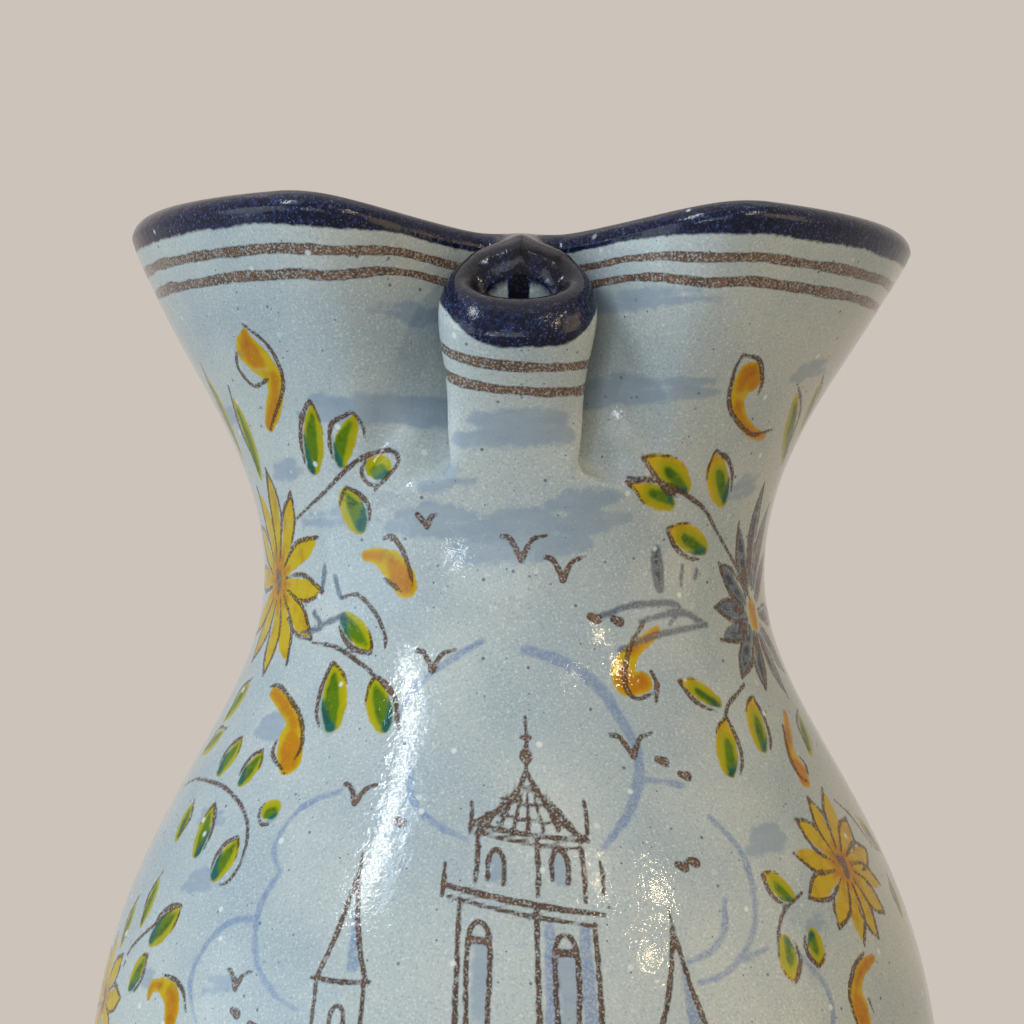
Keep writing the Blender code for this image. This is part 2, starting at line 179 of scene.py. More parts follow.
def section(s, z, inside):  # plan point of the wall on station s at height z
    chain, plain = sectionKeys(z, inside)
    k = np.clip(np.searchsorted(keyStations, s, side="right") - 1, 0, len(keyStations) - 2)
    t = ((s - keyStations[k]) / (keyStations[k + 1] - keyStations[k]))[:, None]
    i = np.arange(len(s))
    a, b, c, d = (chain[i, k + j] for j in range(4))
    pairs = ((a, b), (b, c), (c, d))
    first, second, third = (np.sqrt(np.linalg.norm(q - p, axis=1) + 1e-12)[:, None] for p, q in pairs)
    leave = ((b - a) / first - (c - a) / (first + second) + (c - b) / second) * second
    arrive = ((c - b) / second - (d - b) / (second + third) + (d - c) / third) * second
    curve = (b * (2 * t ** 3 - 3 * t ** 2 + 1) + leave * (t ** 3 - 2 * t ** 2 + t)
             + c * (3 * t ** 2 - 2 * t ** 3) + arrive * (t ** 3 - t ** 2))
    return np.where((s > 2)[:, None], onCircle(stationAngle(s), plain), curve)


def rimTop(s):
    fall = pinch["drop"] * ((1 + np.cos(np.pi * np.clip(s, 0, 1))) / 2) ** pinch["hood"]
    return body["height"] - pinch["dip"] * (1 - smooth(s - 1)) - fall * (s < 1)


def lipHeight(s):  # from the top of the straight wall to the crest
    plain = body["wall"] / 2 + pinch["swell"]
    return plain + (pinch["lipRise"] - plain) * onSpout(s, "lipFade")


def wallPair(s, z):  # outer and inner points, with the rolled lip's swelling
    outer, inner = section(s, z, False), section(s, z, True)
    across = (outer - inner) / np.linalg.norm(outer - inner, axis=1)[:, None]
    left = rimTop(s) - lipHeight(s) - z
    spout = onSpout(s, "flareFade")
    atLip = smooth(1 - left / (2 * body["wall"]))
    flare = pinch["flare"] * smooth(1 - left / pinch["flareLength"]) * spout
    outer = outer + across * (pinch["swell"] * atLip + flare)[:, None]
    inner = inner - across * (pinch["swell"] * (1 - spout) * atLip)[:, None]
    return np.column_stack([outer, z]), np.column_stack([inner, z])


def warped(p):
    rise = np.clip((p[..., 2] - seams["pinch"]) / (body["height"] - seams["pinch"]), 0, 1) ** 2
    out = p.copy()
    out[..., 2] += warp["tilt"] * p[..., 0] * rise
    out[..., 0] += warp["lean"] * rise
    return out


def ring(radius, z, angles):
    r, z = np.asarray(radius)[:, None], np.asarray(z)[:, None]
    return np.stack(np.broadcast_arrays(r * np.sin(angles), -r * np.cos(angles), z), -1)


def heights(low, high, step):
    return np.linspace(low, high, max(2, int(round((high - low) / step)) + 1))


stations = np.concatenate([
    np.linspace(0, 1, mesh["spoutColumns"], endpoint=False),
    np.linspace(1, 2, mesh["lobeColumns"], endpoint=False),
    np.linspace(2, 3, mesh["backColumns"] + 1)])
angles = stationAngle(stations)


def makeSkin():  # half of the jug's skin as rows: up the outside, over the lip, down the inside
    low = heights(body["ankle"][1], seams["lower"], mesh["lowRow"])
    mid = heights(seams["lower"], seams["shoulder"], mesh["row"])
    neck = heights(seams["shoulder"], seams["pinch"], mesh["row"])
    lip = lipHeight(stations)
    count = len(stations)

    def mouthRows(rows):
        share = np.linspace(0, 1, rows)[:, None]
        z = seams["pinch"] + (rimTop(stations) - lip - seams["pinch"]) * share
        pair = wallPair(np.tile(stations, rows), z.ravel())
        return [p.reshape(rows, count, 3) for p in pair]

    outer = mouthRows(mesh["mouthRows"])[0]
    inner = mouthRows(mesh["innerMouthRows"])[1]
    top, half = (outer[-1] + inner[-1]) / 2, (outer[-1] - inner[-1]) / 2
    turn = np.linspace(0, math.pi, mesh["lipRows"] + 2)[1:-1, None, None]
    square = 1 - (1 - pinch["lipShoulder"]) * onSpout(stations, "shoulderFade")
    lift = np.where(turn[..., 0] < math.pi / 2, np.sin(turn[..., 0]), np.sin(turn[..., 0]) ** square)
    lipArc = top + half * np.cos(turn)
    lipArc[..., 2] += lip * lift
    blocks = dict(
        low=ring(radiusAt(low), low, angles), mid=ring(radiusAt(mid), mid, angles)[1:],
        neck=ring(radiusAt(neck), neck, angles)[1:-1], mouth=outer, lip=lipArc, throat=inner[::-1])
    for name, (top, bottom) in dict(neckIn=("pinch", "shoulder"), midIn=("shoulder", "lower")).items():
        z = heights(seams[bottom], seams[top], mesh["innerRow"])[::-1]
        blocks[name] = ring(innerAt(z), z, angles)[1:]
    z = heights(body["floor"], seams["lower"], mesh["innerRow"])[::-1]
    blocks["lowIn"] = ring(innerAt(z), z, angles)[1:]
    ends, row = {}, 0
    for name, block in blocks.items():
        ends[name] = (row, row + len(block))
        row += len(block)
    return np.vstack(list(blocks.values())), ends


def skinNormals(half):  # the neighbours across the mirror plane are mirrored columns
    flip = np.array([-1, 1, 1])
    wide = np.concatenate([half[:, 1:2] * flip, half, half[:, -2:-1] * flip], 1)
    n = np.cross(wide[:, 2:] - wide[:, :-2], np.gradient(half, axis=0))
    n[..., 0] *= smooth(half[..., 0] / (1.6 * mm))  # the halves run into each other over the seam
    return n / (np.linalg.norm(n, axis=2)[..., None] + 1e-15)


def bothHalves(half):
    return np.concatenate([half, half[:, -2:0:-1] * np.array([-1, 1, 1])], 1)


halfSkin, rowsOf = makeSkin()
skinNormal = bothHalves(skinNormals(halfSkin))
halfSkin[..., 0] = np.maximum(halfSkin[..., 0], 0)
plainSkin = bothHalves(halfSkin)
skin = warped(plainSkin)
ringAngle = np.concatenate([angles, -angles[-2:0:-1]])
ringStation = np.concatenate([stations, stations[-2:0:-1]])
outerRows = rowsOf["mouth"][1]
lipMid = (rowsOf["lip"][0] + rowsOf["lip"][1]) // 2
print("skin grid", skin.shape[:2])

# how the blue rim and the two lines below it were brushed, in mm, stations and shares
rimPaint = dict(
    crowd=0.38, lobeCrowd=(1.85, 0.5), spoutCrowd=(0.6, 0.4),  # the lines draw together beside the spout
    runDown=2.6, runBack=4.6, runMiddle=0.06, runHalf=0.12, runFade=0.38, runLength=6.0,  # blue on its front
    lineDrop=1.9, lineSlant=2.9, slantHalf=0.5,  # the lines across it
    boreShare=0.38,  # the blue runs far down the bore
    cleft=(0.5, 1.0), cleftHalf=1.2 * mm, cleftShadeDepth=-1.0)  # and down the seam behind it the blue is painted shade, a dark strip standing for the shadowed cleft

# distance from the crest of the lip down each column, in mm, minus on the inside
along = np.linalg.norm(np.diff(skin, axis=0), axis=2)
crestDistance = np.concatenate([np.zeros((1, skin.shape[1])), np.cumsum(along, 0)], 0)
rimField = (crestDistance[lipMid] - crestDistance) / mm
inside = np.arange(len(skin))[:, None] > lipMid
spoutShare = onSpout(ringStation, "flareFade")
spoutSide = np.sign(ringAngle) * np.minimum(ringStation, 1)  # -1 left seam, 0 front, 1 right seam
(lobeEnd, lobeOver), (spoutStart, spoutOver) = rimPaint["lobeCrowd"], rimPaint["spoutCrowd"]
crowded = np.where(ringStation > 1, smooth((lobeEnd - ringStation) / lobeOver),
                   smooth((ringStation - spoutStart) / spoutOver))
outside = rimField * (1 + rimPaint["crowd"] * crowded)
aside = np.abs(spoutSide - rimPaint["runMiddle"]) - rimPaint["runHalf"]
blueRun = spoutShare * (rimPaint["runDown"] - rimPaint["runBack"] * smooth(aside / rimPaint["runFade"]))
slant = rimPaint["lineSlant"] * np.clip(spoutSide, -rimPaint["slantHalf"], rimPaint["slantHalf"])
lineField = np.where(inside, -offRim, outside - spoutShare * (rimPaint["lineDrop"] + slant))
boreShare = np.where(ringStation <= 1, rimPaint["boreShare"], 1.0)
rimField = np.where(inside, rimField * boreShare, outside - blueRun * smooth(outside / rimPaint["runLength"]))
# painted shade: the rim's blue laid in a narrow strip down the inner seam behind the bore, for the dark of
# the cleft
cleft = (ringStation > rimPaint["cleft"][0]) & (ringStation < rimPaint["cleft"][1])
rimField[inside & cleft & (np.abs(plainSkin[..., 0]) < rimPaint["cleftHalf"])] = rimPaint["cleftShadeDepth"]


def onSkin(path):  # (angle in degrees, height in mm) on the outside to a point in metres
    path = np.asarray(path, float)
    a, z = np.radians(path[:, 0]), path[:, 1] * mm
    s = angleStation(a)
    z = np.minimum(z, rimTop(s) - body["wall"] / 2)
    plain = np.column_stack([onCircle(np.abs(a), radiusAt(z)), z])
    p = np.where((z > seams["pinch"])[:, None], wallPair(s, z)[0], plain)
    p[:, 0] *= np.where(a < 0, -1, 1)
    return warped(p)


def near(at, right, up):  # a place so many mm from another one, along the surface
    angle, height = at
    z = height * mm
    return (angle + math.degrees(right * mm / radiusAt(z)), height + up / math.sqrt(1 + slopeAt(z) ** 2))


def spline(points, count):
    p = np.asarray(points, float)
    if len(p) < 3:
        return p[0] + (p[-1] - p[0]) * np.linspace(0, 1, count)[:, None]
    chain = np.vstack([2 * p[0] - p[1], p, 2 * p[-1] - p[-2]])
    t = np.linspace(0, len(p) - 1 - 1e-9, count)
    k = t.astype(int)
    t = (t - k)[:, None]
    a, b, c, d = (chain[k + j] for j in range(4))
    return 0.5 * (2 * b + (c - a) * t + (2 * a - 5 * b + 4 * c - d) * t ** 2
                  + (3 * b - a - 3 * c + d) * t ** 3)


# each layer of colour is a signed distance in mm to its brush strokes
layers = ("wash", "cloud", "yellow", "orange", "green", "teal", "slate", "brown")
strokes = {name: [] for name in layers}
stroke = dict(step=0.8, most=90, reach=4.0)  # mm between its points, their number, how far it is felt


def brush(layer, path, width):  # width in mm, one value or several along the stroke
    length = sum(math.hypot(math.radians(q[0] - p[0]) * radiusAt(p[1] * mm) / mm, q[1] - p[1])
                 for p, q in zip(path, path[1:]))
    count = int(np.clip(length / stroke["step"], 2, stroke["most"]))
    width = np.atleast_1d(width)
    radii = np.interp(np.linspace(0, 1, count), np.linspace(0, 1, len(width)), width) / 2
    strokes[layer].append((onSkin(spline(path, count)) / mm, radii))


def paintField(points, layer):  # the least distance of each point to the layer's strokes
    field = np.full(len(points), unpainted)
    for path, radii in strokes[layer]:
        reach = radii.max() + stroke["reach"]
        inside = np.all((points > path.min(0) - reach) & (points < path.max(0) + reach), axis=1)
        index = np.nonzero(inside)[0]
        if not len(index):
            continue
        p = points[index]
        best = field[index]
        for a, b, ra, rb in zip(path, path[1:], radii, radii[1:]):
            d = b - a
            t = np.clip(((p - a) @ d) / (d @ d + 1e-9), 0, 1)
            best = np.minimum(best, np.linalg.norm(p - a - t[:, None] * d, axis=1) - (ra + (rb - ra) * t))
        field[index] = best
    return field


# the motifs, with their widths in mm across the brush
def between(a, b, share, aside):  # a place part of the way, and so many mm to the right of the way
    k = radiusAt((a[1] + b[1]) / 2 * mm) / mm * math.pi / 180
    dx, dy = (b[0] - a[0]) * k, b[1] - a[1]
    long = math.hypot(dx, dy) + 1e-6
    return (a[0] + (dx * share + dy / long * aside) / k, a[1] + dy * share - dx / long * aside)


def sized(wide, *shares):
    return wide * np.array(shares)


def leaf(base, tip, wide, turn=1, ripe=0.0):  # amber, then green, then teal at one side of its base
    def at(share, aside):
        return between(base, tip, share, aside * wide * turn)

    brush("yellow", [at(0.07, 0.02), at(0.36, 0.04), at(0.7, 0.05), at(0.98, 0.02)],
          sized(wide, 0.62, 0.98, 0.84, 0.2))
    brush("green", [at(0.12, -0.08), at(0.5, -0.06), at(0.84 - 0.25 * ripe, 0)],
          sized(wide * (1 - 0.35 * ripe), 0.5, 0.6, 0.46, 0.16))
    brush("teal", [at(0.0, -0.06), at(0.16, -0.3), at(0.52 - 0.2 * ripe, -0.44)],
          sized(wide * (1 - 0.5 * ripe), 0.42, 0.36, 0.12))
    brush("brown", [at(0.06, -0.44), at(0.36, -0.6), at(0.72, -0.48), at(1.04, -0.1)],
          [0.45, 0.75, 0.95, 0.7])
    brush("brown", [at(0.62, 0.5), at(0.84, 0.3), at(1.04, -0.04)], [0.3, 0.5, 0.55])


def thinLeaf(base, tip, wide, turn=1):
    def at(share, aside=0.0):
        return between(base, tip, share, aside * wide * turn)

    brush("yellow", [base, at(0.5, 0.06), at(0.95)], sized(wide, 0.45, 0.95, 0.85, 0.2))
    brush("green", [at(0.08, -0.06), at(0.8, -0.04)], sized(wide, 0.4, 0.6, 0.2))
    brush("brown", [base, at(0.5, -0.56), at(1.1)], [0.45, 0.8, 0.55])


def comma(tail, head, wide, lines, end=0.85):  # a thin tail, a fat head and loose lines round them
    brush("yellow", tail, sized(wide, 0.34, 0.5, 0.52, 0.6))
    brush("yellow", [tail[-1]] + head, sized(wide, 0.62, 0.95, 1.0, end))
    brush("orange", head, sized(wide, 0.4, 0.8, 0.75 * end))
    brush("orange", tail, sized(wide, 0.26, 0.34, 0.24, 0.3))
    for line in lines:
        brush("brown", line, [0.6, 0.85, 0.95, 0.8, 0.5])


def daisy(centre, tips, wide, layer="yellow", heart="slate"):
    first = 0.16 if layer == "yellow" else 0.26
    for i, tip in enumerate(tips):
        lean = 0.1 * wide * (-1) ** i

        def at(share, aside=0.0):
            return between(centre, tip, share, aside)

        brush(layer, [at(first), at(0.6, lean), at(0.94)], sized(wide, 0.45, 0.85, 1.05, 1.05, 0.5))
        if layer == "yellow":
            brush("orange", [at(0.12), at(0.36)], sized(wide, 0.45, 0.36, 0.12))
        elif i % 3 != 1:
            brush("brown", [at(0.34, lean), at(0.58, lean)], sized(wide, 0.34, 0.6, 0.28))
        brush("brown", [at(0.22, -0.3 * wide), at(0.66, -0.6 * wide), at(1.06)], [0.5, 0.85, 0.7])
        if i % 3:
            brush("brown", [at(0.5, 0.58 * wide), at(0.8, 0.55 * wide), at(1.06)], [0.4, 0.75, 0.6])
    brush("yellow", [near(centre, 0, 1.0), near(centre, 0, -1.0)], 3.4)
    for right, up in ((-0.5, 1.4), (0.5, 1.0), (0.2, -1.6)):
        brush(heart, [near(centre, right, up), near(centre, right * 0.4 + 0.2, up * 0.4)], [1.4, 2.0])


def bud(at, wide):  # a round berry, darker below, held from the left
    brush("yellow", [near(at, -0.08 * wide, 0.08 * wide), near(at, 0.08 * wide, 0.1 * wide)], wide * 0.84)
    brush("green", [near(at, 0, -0.12 * wide), near(at, 0.12 * wide, -0.06 * wide)], wide * 0.56)
    brush("teal", [near(at, 0.08 * wide, -0.36 * wide), near(at, 0.36 * wide, -0.16 * wide)], wide * 0.3)
    cup = [near(at, 0.58 * wide * math.cos(t), 0.58 * wide * math.sin(t)) for t in np.linspace(2.6, 5.0, 6)]
    brush("brown", cup, [0.4, 0.8, 0.5])


def bird(at, span):
    brush("brown", [near(at, -span / 2, span * 0.3), near(at, -span * 0.3, span * 0.22),
                    near(at, -0.06 * span, -span * 0.24)], [0.9, 0.8, 1.1])
    brush("brown", [near(at, -0.06 * span, -span * 0.24), near(at, span * 0.16, span * 0.2),
                    near(at, span / 2, span * 0.32)], [1.0, 0.75, 0.45])


leftSprig = dict(
    comma=[([(-54, 216.8), (-51.1, 218.7), (-48, 221.2), (-46.2, 223.9)],
            [(-48.4, 226.4), (-49.8, 227.6), (-48.7, 230.6)], 6.5,
            [[(-48.5, 231.6), (-44.6, 228.5), (-43.9, 224.4), (-46.1, 221.3), (-54.1, 216.2)],
             [(-54, 227.8), (-55.7, 225.4), (-53.2, 222.8), (-48.1, 223.6)]], 0.22),
           ([(-33.5, 196.5), (-31.6, 196.6), (-29.6, 196.3)],
            [(-26.9, 195.2), (-24.9, 193.6), (-23.5, 192)], 4.7,
            [[(-28.5, 199.2), (-26.2, 199.4), (-23.4, 196), (-21.9, 192.1)],
             [(-28.8, 193.1), (-26.8, 192.2), (-24.6, 191.1)]]),
           ([(-54.9, 175.2), (-51, 174.1), (-46.6, 172.3), (-43.8, 170.4)],
            [(-43.8, 169), (-42.8, 167.2), (-41.5, 165.2)], 5.4,
            [[(-56.6, 176.1), (-52.2, 175.9), (-43.8, 172.1), (-40.3, 168), (-40.7, 165.3)],
             [(-47.1, 168.2), (-46.6, 166), (-41.4, 163.4)]]),
           ([(-55.8, 129.5), (-55.6, 131), (-53.4, 131.5)],
            [(-51, 130.7), (-49.8, 129.2), (-49.6, 126.9)], 3.9,
            [[(-52.9, 133), (-50, 132.6), (-47.9, 131.2), (-46.6, 128.6)]])],
    leaf=[((-44.7, 209.6), (-39.4, 219.6), 4.3, 1), ((-36.6, 210.6), (-33.6, 217.8), 3.6, 1),
          ((-34.5, 201), (-36.9, 206.6), 5.2, -1),
          ((-38.8, 187.2), (-30.3, 182.1), 3.7, -1), ((-34.6, 170.4), (-38.8, 179.8), 5.0, 1),
          ((-23.6, 170.6), (-28.4, 177.8), 4.3, -1),
          ((-60.6, 162.7), (-58.6, 167.7), 4.2, 1), ((-51.7, 161.6), (-49.6, 166.2), 3.8, 1),
          ((-55.4, 150.7), (-57.1, 157.7), 4.0, -1),
          ((-48.3, 148), (-46.3, 153.5), 4.4, 1), ((-59.4, 137.3), (-54, 142.5), 4.6, 1),
          ((-62.3, 129.9), (-59.6, 135.1), 3.8, -1)],
    thin=[((-66.9, 209.5), (-63.3, 222), 3.8, 1), ((-77, 213), (-72, 226), 3.6, 1),
          ((-72.7, 170.5), (-67.8, 176.3), 4.4, 1),
          ((-75.9, 165.1), (-69, 168.5), 4.0, 1), ((-64.4, 152.3), (-65.4, 157.6), 3.6, -1),
          ((-64.8, 139.1), (-64.2, 146.4), 3.2, 1),
          ((-71.5, 135), (-70.8, 142), 3.2, 1)],
    dab=[((-51.3, 227.6), (-49.6, 226.8), 4.4)],
    bud=[((-29.4, 209.6), 4.3), ((-41.5, 157.9), 3.9)],
    stem=[[(-53.9, 202.4), (-44.2, 205.8), (-37, 209), (-32, 211.8), (-28.9, 212.6), (-26.8, 211.2),
           (-27, 208.6), (-29.4, 206.5)],
          [(-40.4, 189.9), (-35.5, 190.5), (-30.6, 187.8), (-27.5, 184.4), (-27.1, 182.5)],
          [(-46.8, 183), (-39.7, 182.4), (-33.7, 180.6), (-27.6, 178), (-22.8, 174.8), (-20.9, 170.6)],
          [(-76.8, 159.3), (-69.4, 161), (-58.1, 160.8), (-50.5, 159), (-45.3, 155.7), (-43.7, 151.1),
           (-44.7, 147.8), (-46.4, 146.9)],
          [(-67, 132.5), (-65.8, 135.3), (-60.7, 139.1), (-55.5, 142.7)]],
    daisy=[((-65.6, 192.4), 3.3, ((-72, 206.8), (-62.5, 209.4), (-55, 205.7), (-48.2, 199), (-46.9, 191),
                                  (-48.5, 184), (-54.4, 180.2),
                                  (-62.2, 178.4), (-72.9, 180.1), (-81, 184), (-83, 193), (-79, 201))),
           ((-74, 126), 3.4, ((-76.4, 135.5), (-69, 133.4), (-65.6, 127.6), (-67.4, 120.5), (-73.5, 116.4),
                              (-80, 118.5), (-83, 126), (-81, 132.5)))],
    bird=[((-18.1, 201.8), 3.2), ((-15.8, 180.5), 6.0), ((-25.3, 161), 5.6), ((-38, 134), 4.8)],
    dot=[(-17.6, 157.5), (-37.6, 129.6), (-34.5, 128)],
    tick=[[(-45.3, 195.1), (-46.1, 191.2)], [(-42.2, 193.3), (-40.4, 190.1)],
          [(-48.3, 187.7), (-45.4, 185.4), (-51.5, 184.5)], [(-45, 185.8), (-38.5, 187.4)]],
)
rightSprig = dict(
    ripe=0.8,  # its leaves are more amber than green
    comma=[([(56.5, 215.3), (52, 215.8), (47.3, 217.5), (44, 219.9)],
            [(43.2, 222.2), (43.2, 224.6), (45.6, 223.4)], 4.3,
            [[(40, 227.3), (39.9, 224.4), (42.5, 219.2), (51.3, 215.6), (59, 216.5)],
             [(40.5, 227.1), (44.4, 226.6), (47.8, 223.6), (48.5, 221.5)]]),
           ([(30.8, 185.2), (27.6, 183.5), (24.2, 181.9)], [(21.8, 179.4), (21.9, 177.2), (25.4, 177.4)], 4.1,
            [[(27.9, 186.4), (23.9, 182.5), (21.7, 178), (23, 175), (28, 175.9)],
             [(27.7, 178.9), (28.5, 177.1), (27.3, 174.4)]]),
           ([(63.2, 171.6), (60.7, 169.1), (57.7, 166.5)], [(57.6, 164.4), (57.9, 163.1), (57.3, 161.8)], 3.8,
            [[(59.6, 169.9), (56.4, 165.5), (56.4, 162.4), (58.4, 161.2)],
             [(60, 165), (60.7, 163.7), (59.7, 162.4)]]),
           ([(56.4, 135), (53.2, 134.2), (50.8, 132)], [(50, 130.2), (50.4, 128.4), (50.8, 126.4)], 4.4,
            [[(54.4, 136), (51, 134.4), (48.6, 130.6), (49.2, 126)], [(52.8, 129.6), (53.4, 127.4)]])],
    leaf=[((37.4, 206.8), (29.4, 211.6), 4.4, 1), ((49.4, 205), (42.8, 212.2), 5.0, -1),
          ((34.4, 204.4), (25, 207.2), 3.8, -1), ((45.2, 197.6), (34.6, 200.7), 4.4, 1),
          ((42.2, 173.8), (34.2, 177.5), 3.4, 1), ((38.2, 163.6), (42.2, 171.4), 4.4, -1),
          ((48.8, 166.8), (52.6, 174.4), 4.4, -1),
          ((42, 145.3), (38.1, 149.2), 3.6, 1), ((38.6, 139.8), (38.4, 134), 3.8, 1),
          ((44.1, 140.2), (43.9, 135.6), 3.8, -1)],
    thin=[((74, 212), (61, 222.6), 4.2, -1), ((78, 217), (70, 225), 3.6, -1),
          ((65.4, 165.4), (71.5, 171.3), 3.6, 1), ((79, 148.9), (73, 154.6), 4.2, 1),
          ((74, 139.6), (75.4, 145), 4.0, 1)],
    stem=[[(25.4, 208.4), (30.6, 208), (38.2, 205.7), (43.9, 203.6), (50.3, 199.4), (61, 192.7),
           (64.5, 189.5)],
          [(51.8, 176.4), (45.2, 173.9), (42.3, 171.7)],
          [(44.5, 146), (39.6, 143.6), (37.5, 140.2), (36.9, 137.4)],
          [(73, 150), (69.5, 155), (65, 158)]],
    slate=[((65, 187), 2.7, ((57.6, 201), (51.4, 194.8), (49.4, 188.4), (49.6, 183.6), (52.6, 178),
                             (59.5, 176), (69, 174.5), (77, 178), (82, 187), (80, 197), (74, 204),
                             (65.7, 207)))],
    daisy=[((57.1, 148.7), 3.3, ((62.2, 159.4), (55.7, 158.5), (49.8, 155.8), (46.3, 151.3), (46.1, 145.2),
                                 (50.5, 140.7), (55.3, 137.9), (59.8, 138), (65, 141.2),
                                 (67.5, 145), (68.2, 150), (65.8, 154.8)))],
    blot=[((31.5, 197.2), (32.5, 191.5), 2.6), ((38.7, 194.9), (38.3, 191.8), 0.9),
          ((43.1, 194.3), (42.5, 193.1), 1.1)],
    bird=[((2, 197.5), 6.6), ((10.8, 194.4), 6.2), ((21, 168), 6.8)],
    dot=[(25.3, 165.9), (28.9, 163.7), (16.6, 187.1), (21.5, 186.7), (24.3, 151.1), (26.3, 151.6)],
    tick=[[(17.4, 187.1), (26.1, 189), (37, 188.9), (34.3, 185.9)],
          [(27, 186.5), (37.4, 187.8), (45.1, 185.8)], [(21.6, 182.2), (30.8, 184.4), (45.1, 185.8)]],
)
lowSprig = dict(  # the same hand carried on down the belly
    daisy=[((-33, 92), 2.9, ((-33, 105), (-27.5, 102.6), (-23.4, 97.4), (-22.5, 91), (-24.5, 84.5),
                             (-29, 80.4), (-35, 79.8), (-40.5, 83), (-43.6, 89), (-43, 96), (-39, 102)))],
    leaf=[((-20, 86), (-14, 79), 3.8, 1), ((-21, 98), (-14.5, 104), 3.6, -1),
          ((-47, 86), (-53.5, 79), 3.8, -1), ((-46, 99), (-52, 106), 3.6, 1),
          ((-30, 70), (-26, 61), 3.8, 1), ((-37, 70), (-42, 61), 3.8, -1)],
    stem=[[(-33, 79), (-33.5, 70), (-31, 62), (-33, 54)], [(-22, 92), (-16, 93), (-11, 89)],
          [(-44, 92), (-50, 93), (-55.5, 89)]],
    comma=[([(-14, 68.6), (-11, 68), (-9, 65.4)], [(-8.2, 62.6), (-8.2, 60.4), (-9, 58)], 3.8,
            [[(-14.6, 70.4), (-9, 69.4), (-5.8, 64), (-6.6, 57.6)],
             [(-11.4, 61.6), (-11.6, 58.4), (-9, 55.6)]]),
           ([(-53, 68.6), (-56, 68), (-58, 65.4)], [(-58.8, 62.6), (-58.8, 60.4), (-58, 58)], 3.8,
            [[(-52.4, 70.4), (-58, 69.4), (-61.2, 64), (-60.4, 57.6)],
             [(-55.6, 61.6), (-55.4, 58.4), (-58, 55.6)]])],
    thin=[((-17, 66), (-20, 60), 2.6, 1), ((-49, 66), (-47, 59.5), 2.6, -1)],
)


def paintSprig(sprig, turn=0.0, flip=1):  # turned round the jug, or mirrored
    def at(place):
        return (place[0] * flip + turn, place[1])

    for tail, head, wide, lines, *end in sprig.get("comma", []):
        comma([at(p) for p in tail], [at(p) for p in head], wide,
              [[at(p) for p in line] for line in lines], *end)
    for base, tip, wide, side in sprig.get("leaf", []):
        leaf(at(base), at(tip), wide, side * flip, sprig.get("ripe", 0.0))
    for base, tip, wide, side in sprig.get("thin", []):
        thinLeaf(at(base), at(tip), wide, side * flip)
    for place, wide in sprig.get("bud", []):
        bud(at(place), wide)
    for first, last, wide in sprig.get("dab", []):
        brush("yellow", [at(first), at(last)], wide)
    for path in sprig.get("stem", []):
        brush("brown", [at(p) for p in path], [0.52, 0.78, 0.68, 0.52])
    for centre, wide, tips in sprig.get("daisy", []):
        daisy(at(centre), [at(p) for p in tips], wide)
    for centre, wide, tips in sprig.get("slate", []):
        daisy(at(centre), [at(p) for p in tips], wide, "slate", "orange")
    for top, bottom, wide in sprig.get("blot", []):
        brush("slate", [at(top), at(bottom)], sized(wide, 0.7, 1.0, 0.6))
    for place, span in sprig.get("bird", []):
        bird(at(place), span)
    for place in sprig.get("dot", []):
        brush("brown", [near(at(place), -0.5, 0.2), near(at(place), 0.5, -0.2)], [1.2, 1.7])
    for path in sprig.get("tick", []):
        brush("slate", [at(p) for p in path], [0.8, 1.2, 0.7])


clouds = [
    [(-6.6, 183.7), (-13.9, 180.2), (-19, 176.6), (-21.5, 172.5)],
    [(-17.4, 165.1), (-15.9, 160.2), (-11, 156.9), (-6.8, 155.3)],
    [(-28.9, 161.4), (-34, 159.6), (-37, 156.6), (-37.9, 152.6), (-35.4, 149.6)],
    [(-35.4, 149.6), (-37.1, 145.5), (-37, 141.3), (-35.2, 136.5), (-31.6, 132.7), (-27.9, 130.8)],
    [(-37.5, 142.9), (-42, 141.9), (-45.3, 138.7), (-46.7, 135.3), (-46.6, 131.7), (-44, 127)],
    [(28.1, 162.3), (24.2, 163), (20.7, 163.3)],
    [(31.4, 157.6), (35, 152.8), (35.3, 147.1), (34, 142.3), (30.9, 138.3), (27.4, 135.8), (23.6, 134.9)],
    [(30, 146), (28.6, 141.3), (25.3, 138.7), (21.9, 137.9)], [(30.4, 137.7), (35.2, 138.8)],
    [(40.9, 137), (44, 132.7), (44.5, 128.4), (42, 123)],
]
broadCloud = [(2.3, 182.3), (8.8, 180.8), (15.9, 177.1), (19, 172.5), (21.2, 168.4), (20.7, 164),
              (17.6, 158.7), (13, 154)]
washes = [  # place, width, height, slant
    ((-30, 218.5), 24, 4.6, -0.4), ((-27, 233), 9, 2.2, -0.6), ((-54, 210), 9, 3.0, 0.4),
    ((-14, 208.2), 11, 3.4, 0.3), ((-40, 202.4), 18, 3.4, 0.2),
    ((-14, 201.5), 22, 4.8, -0.2), ((2, 199.5), 22, 8.0, 0.4), ((15, 203), 16, 7.0, 0.8),
    ((27, 235), 17, 3.2, 0.8), ((29, 221.4), 18, 4.6, 1.0),
    ((56, 207), 12, 3.0, 1.4), ((0, 215.5), 13, 6.0, 0.2), ((-70, 219), 10, 3.0, 0.4),
    ((62, 226), 12, 3.4, 1.0), ((-51, 147), 10, 3.6, 0.5),
    ((-41, 133), 7, 3.0, 0.3), ((41, 154), 9, 4.0, 0.8), ((47, 142), 9, 2.6, 0.8),
    ((-50, 170), 9, 4.0, 0.4), ((-58, 132), 8, 3.0, 0.4), ((-56, 156), 8, 3.0, 0.3),
]


def cloud(path, wide=1.1):
    brush("cloud", path, sized(wide, 0.9, 1.1, 0.8, 1.0, 0.5))


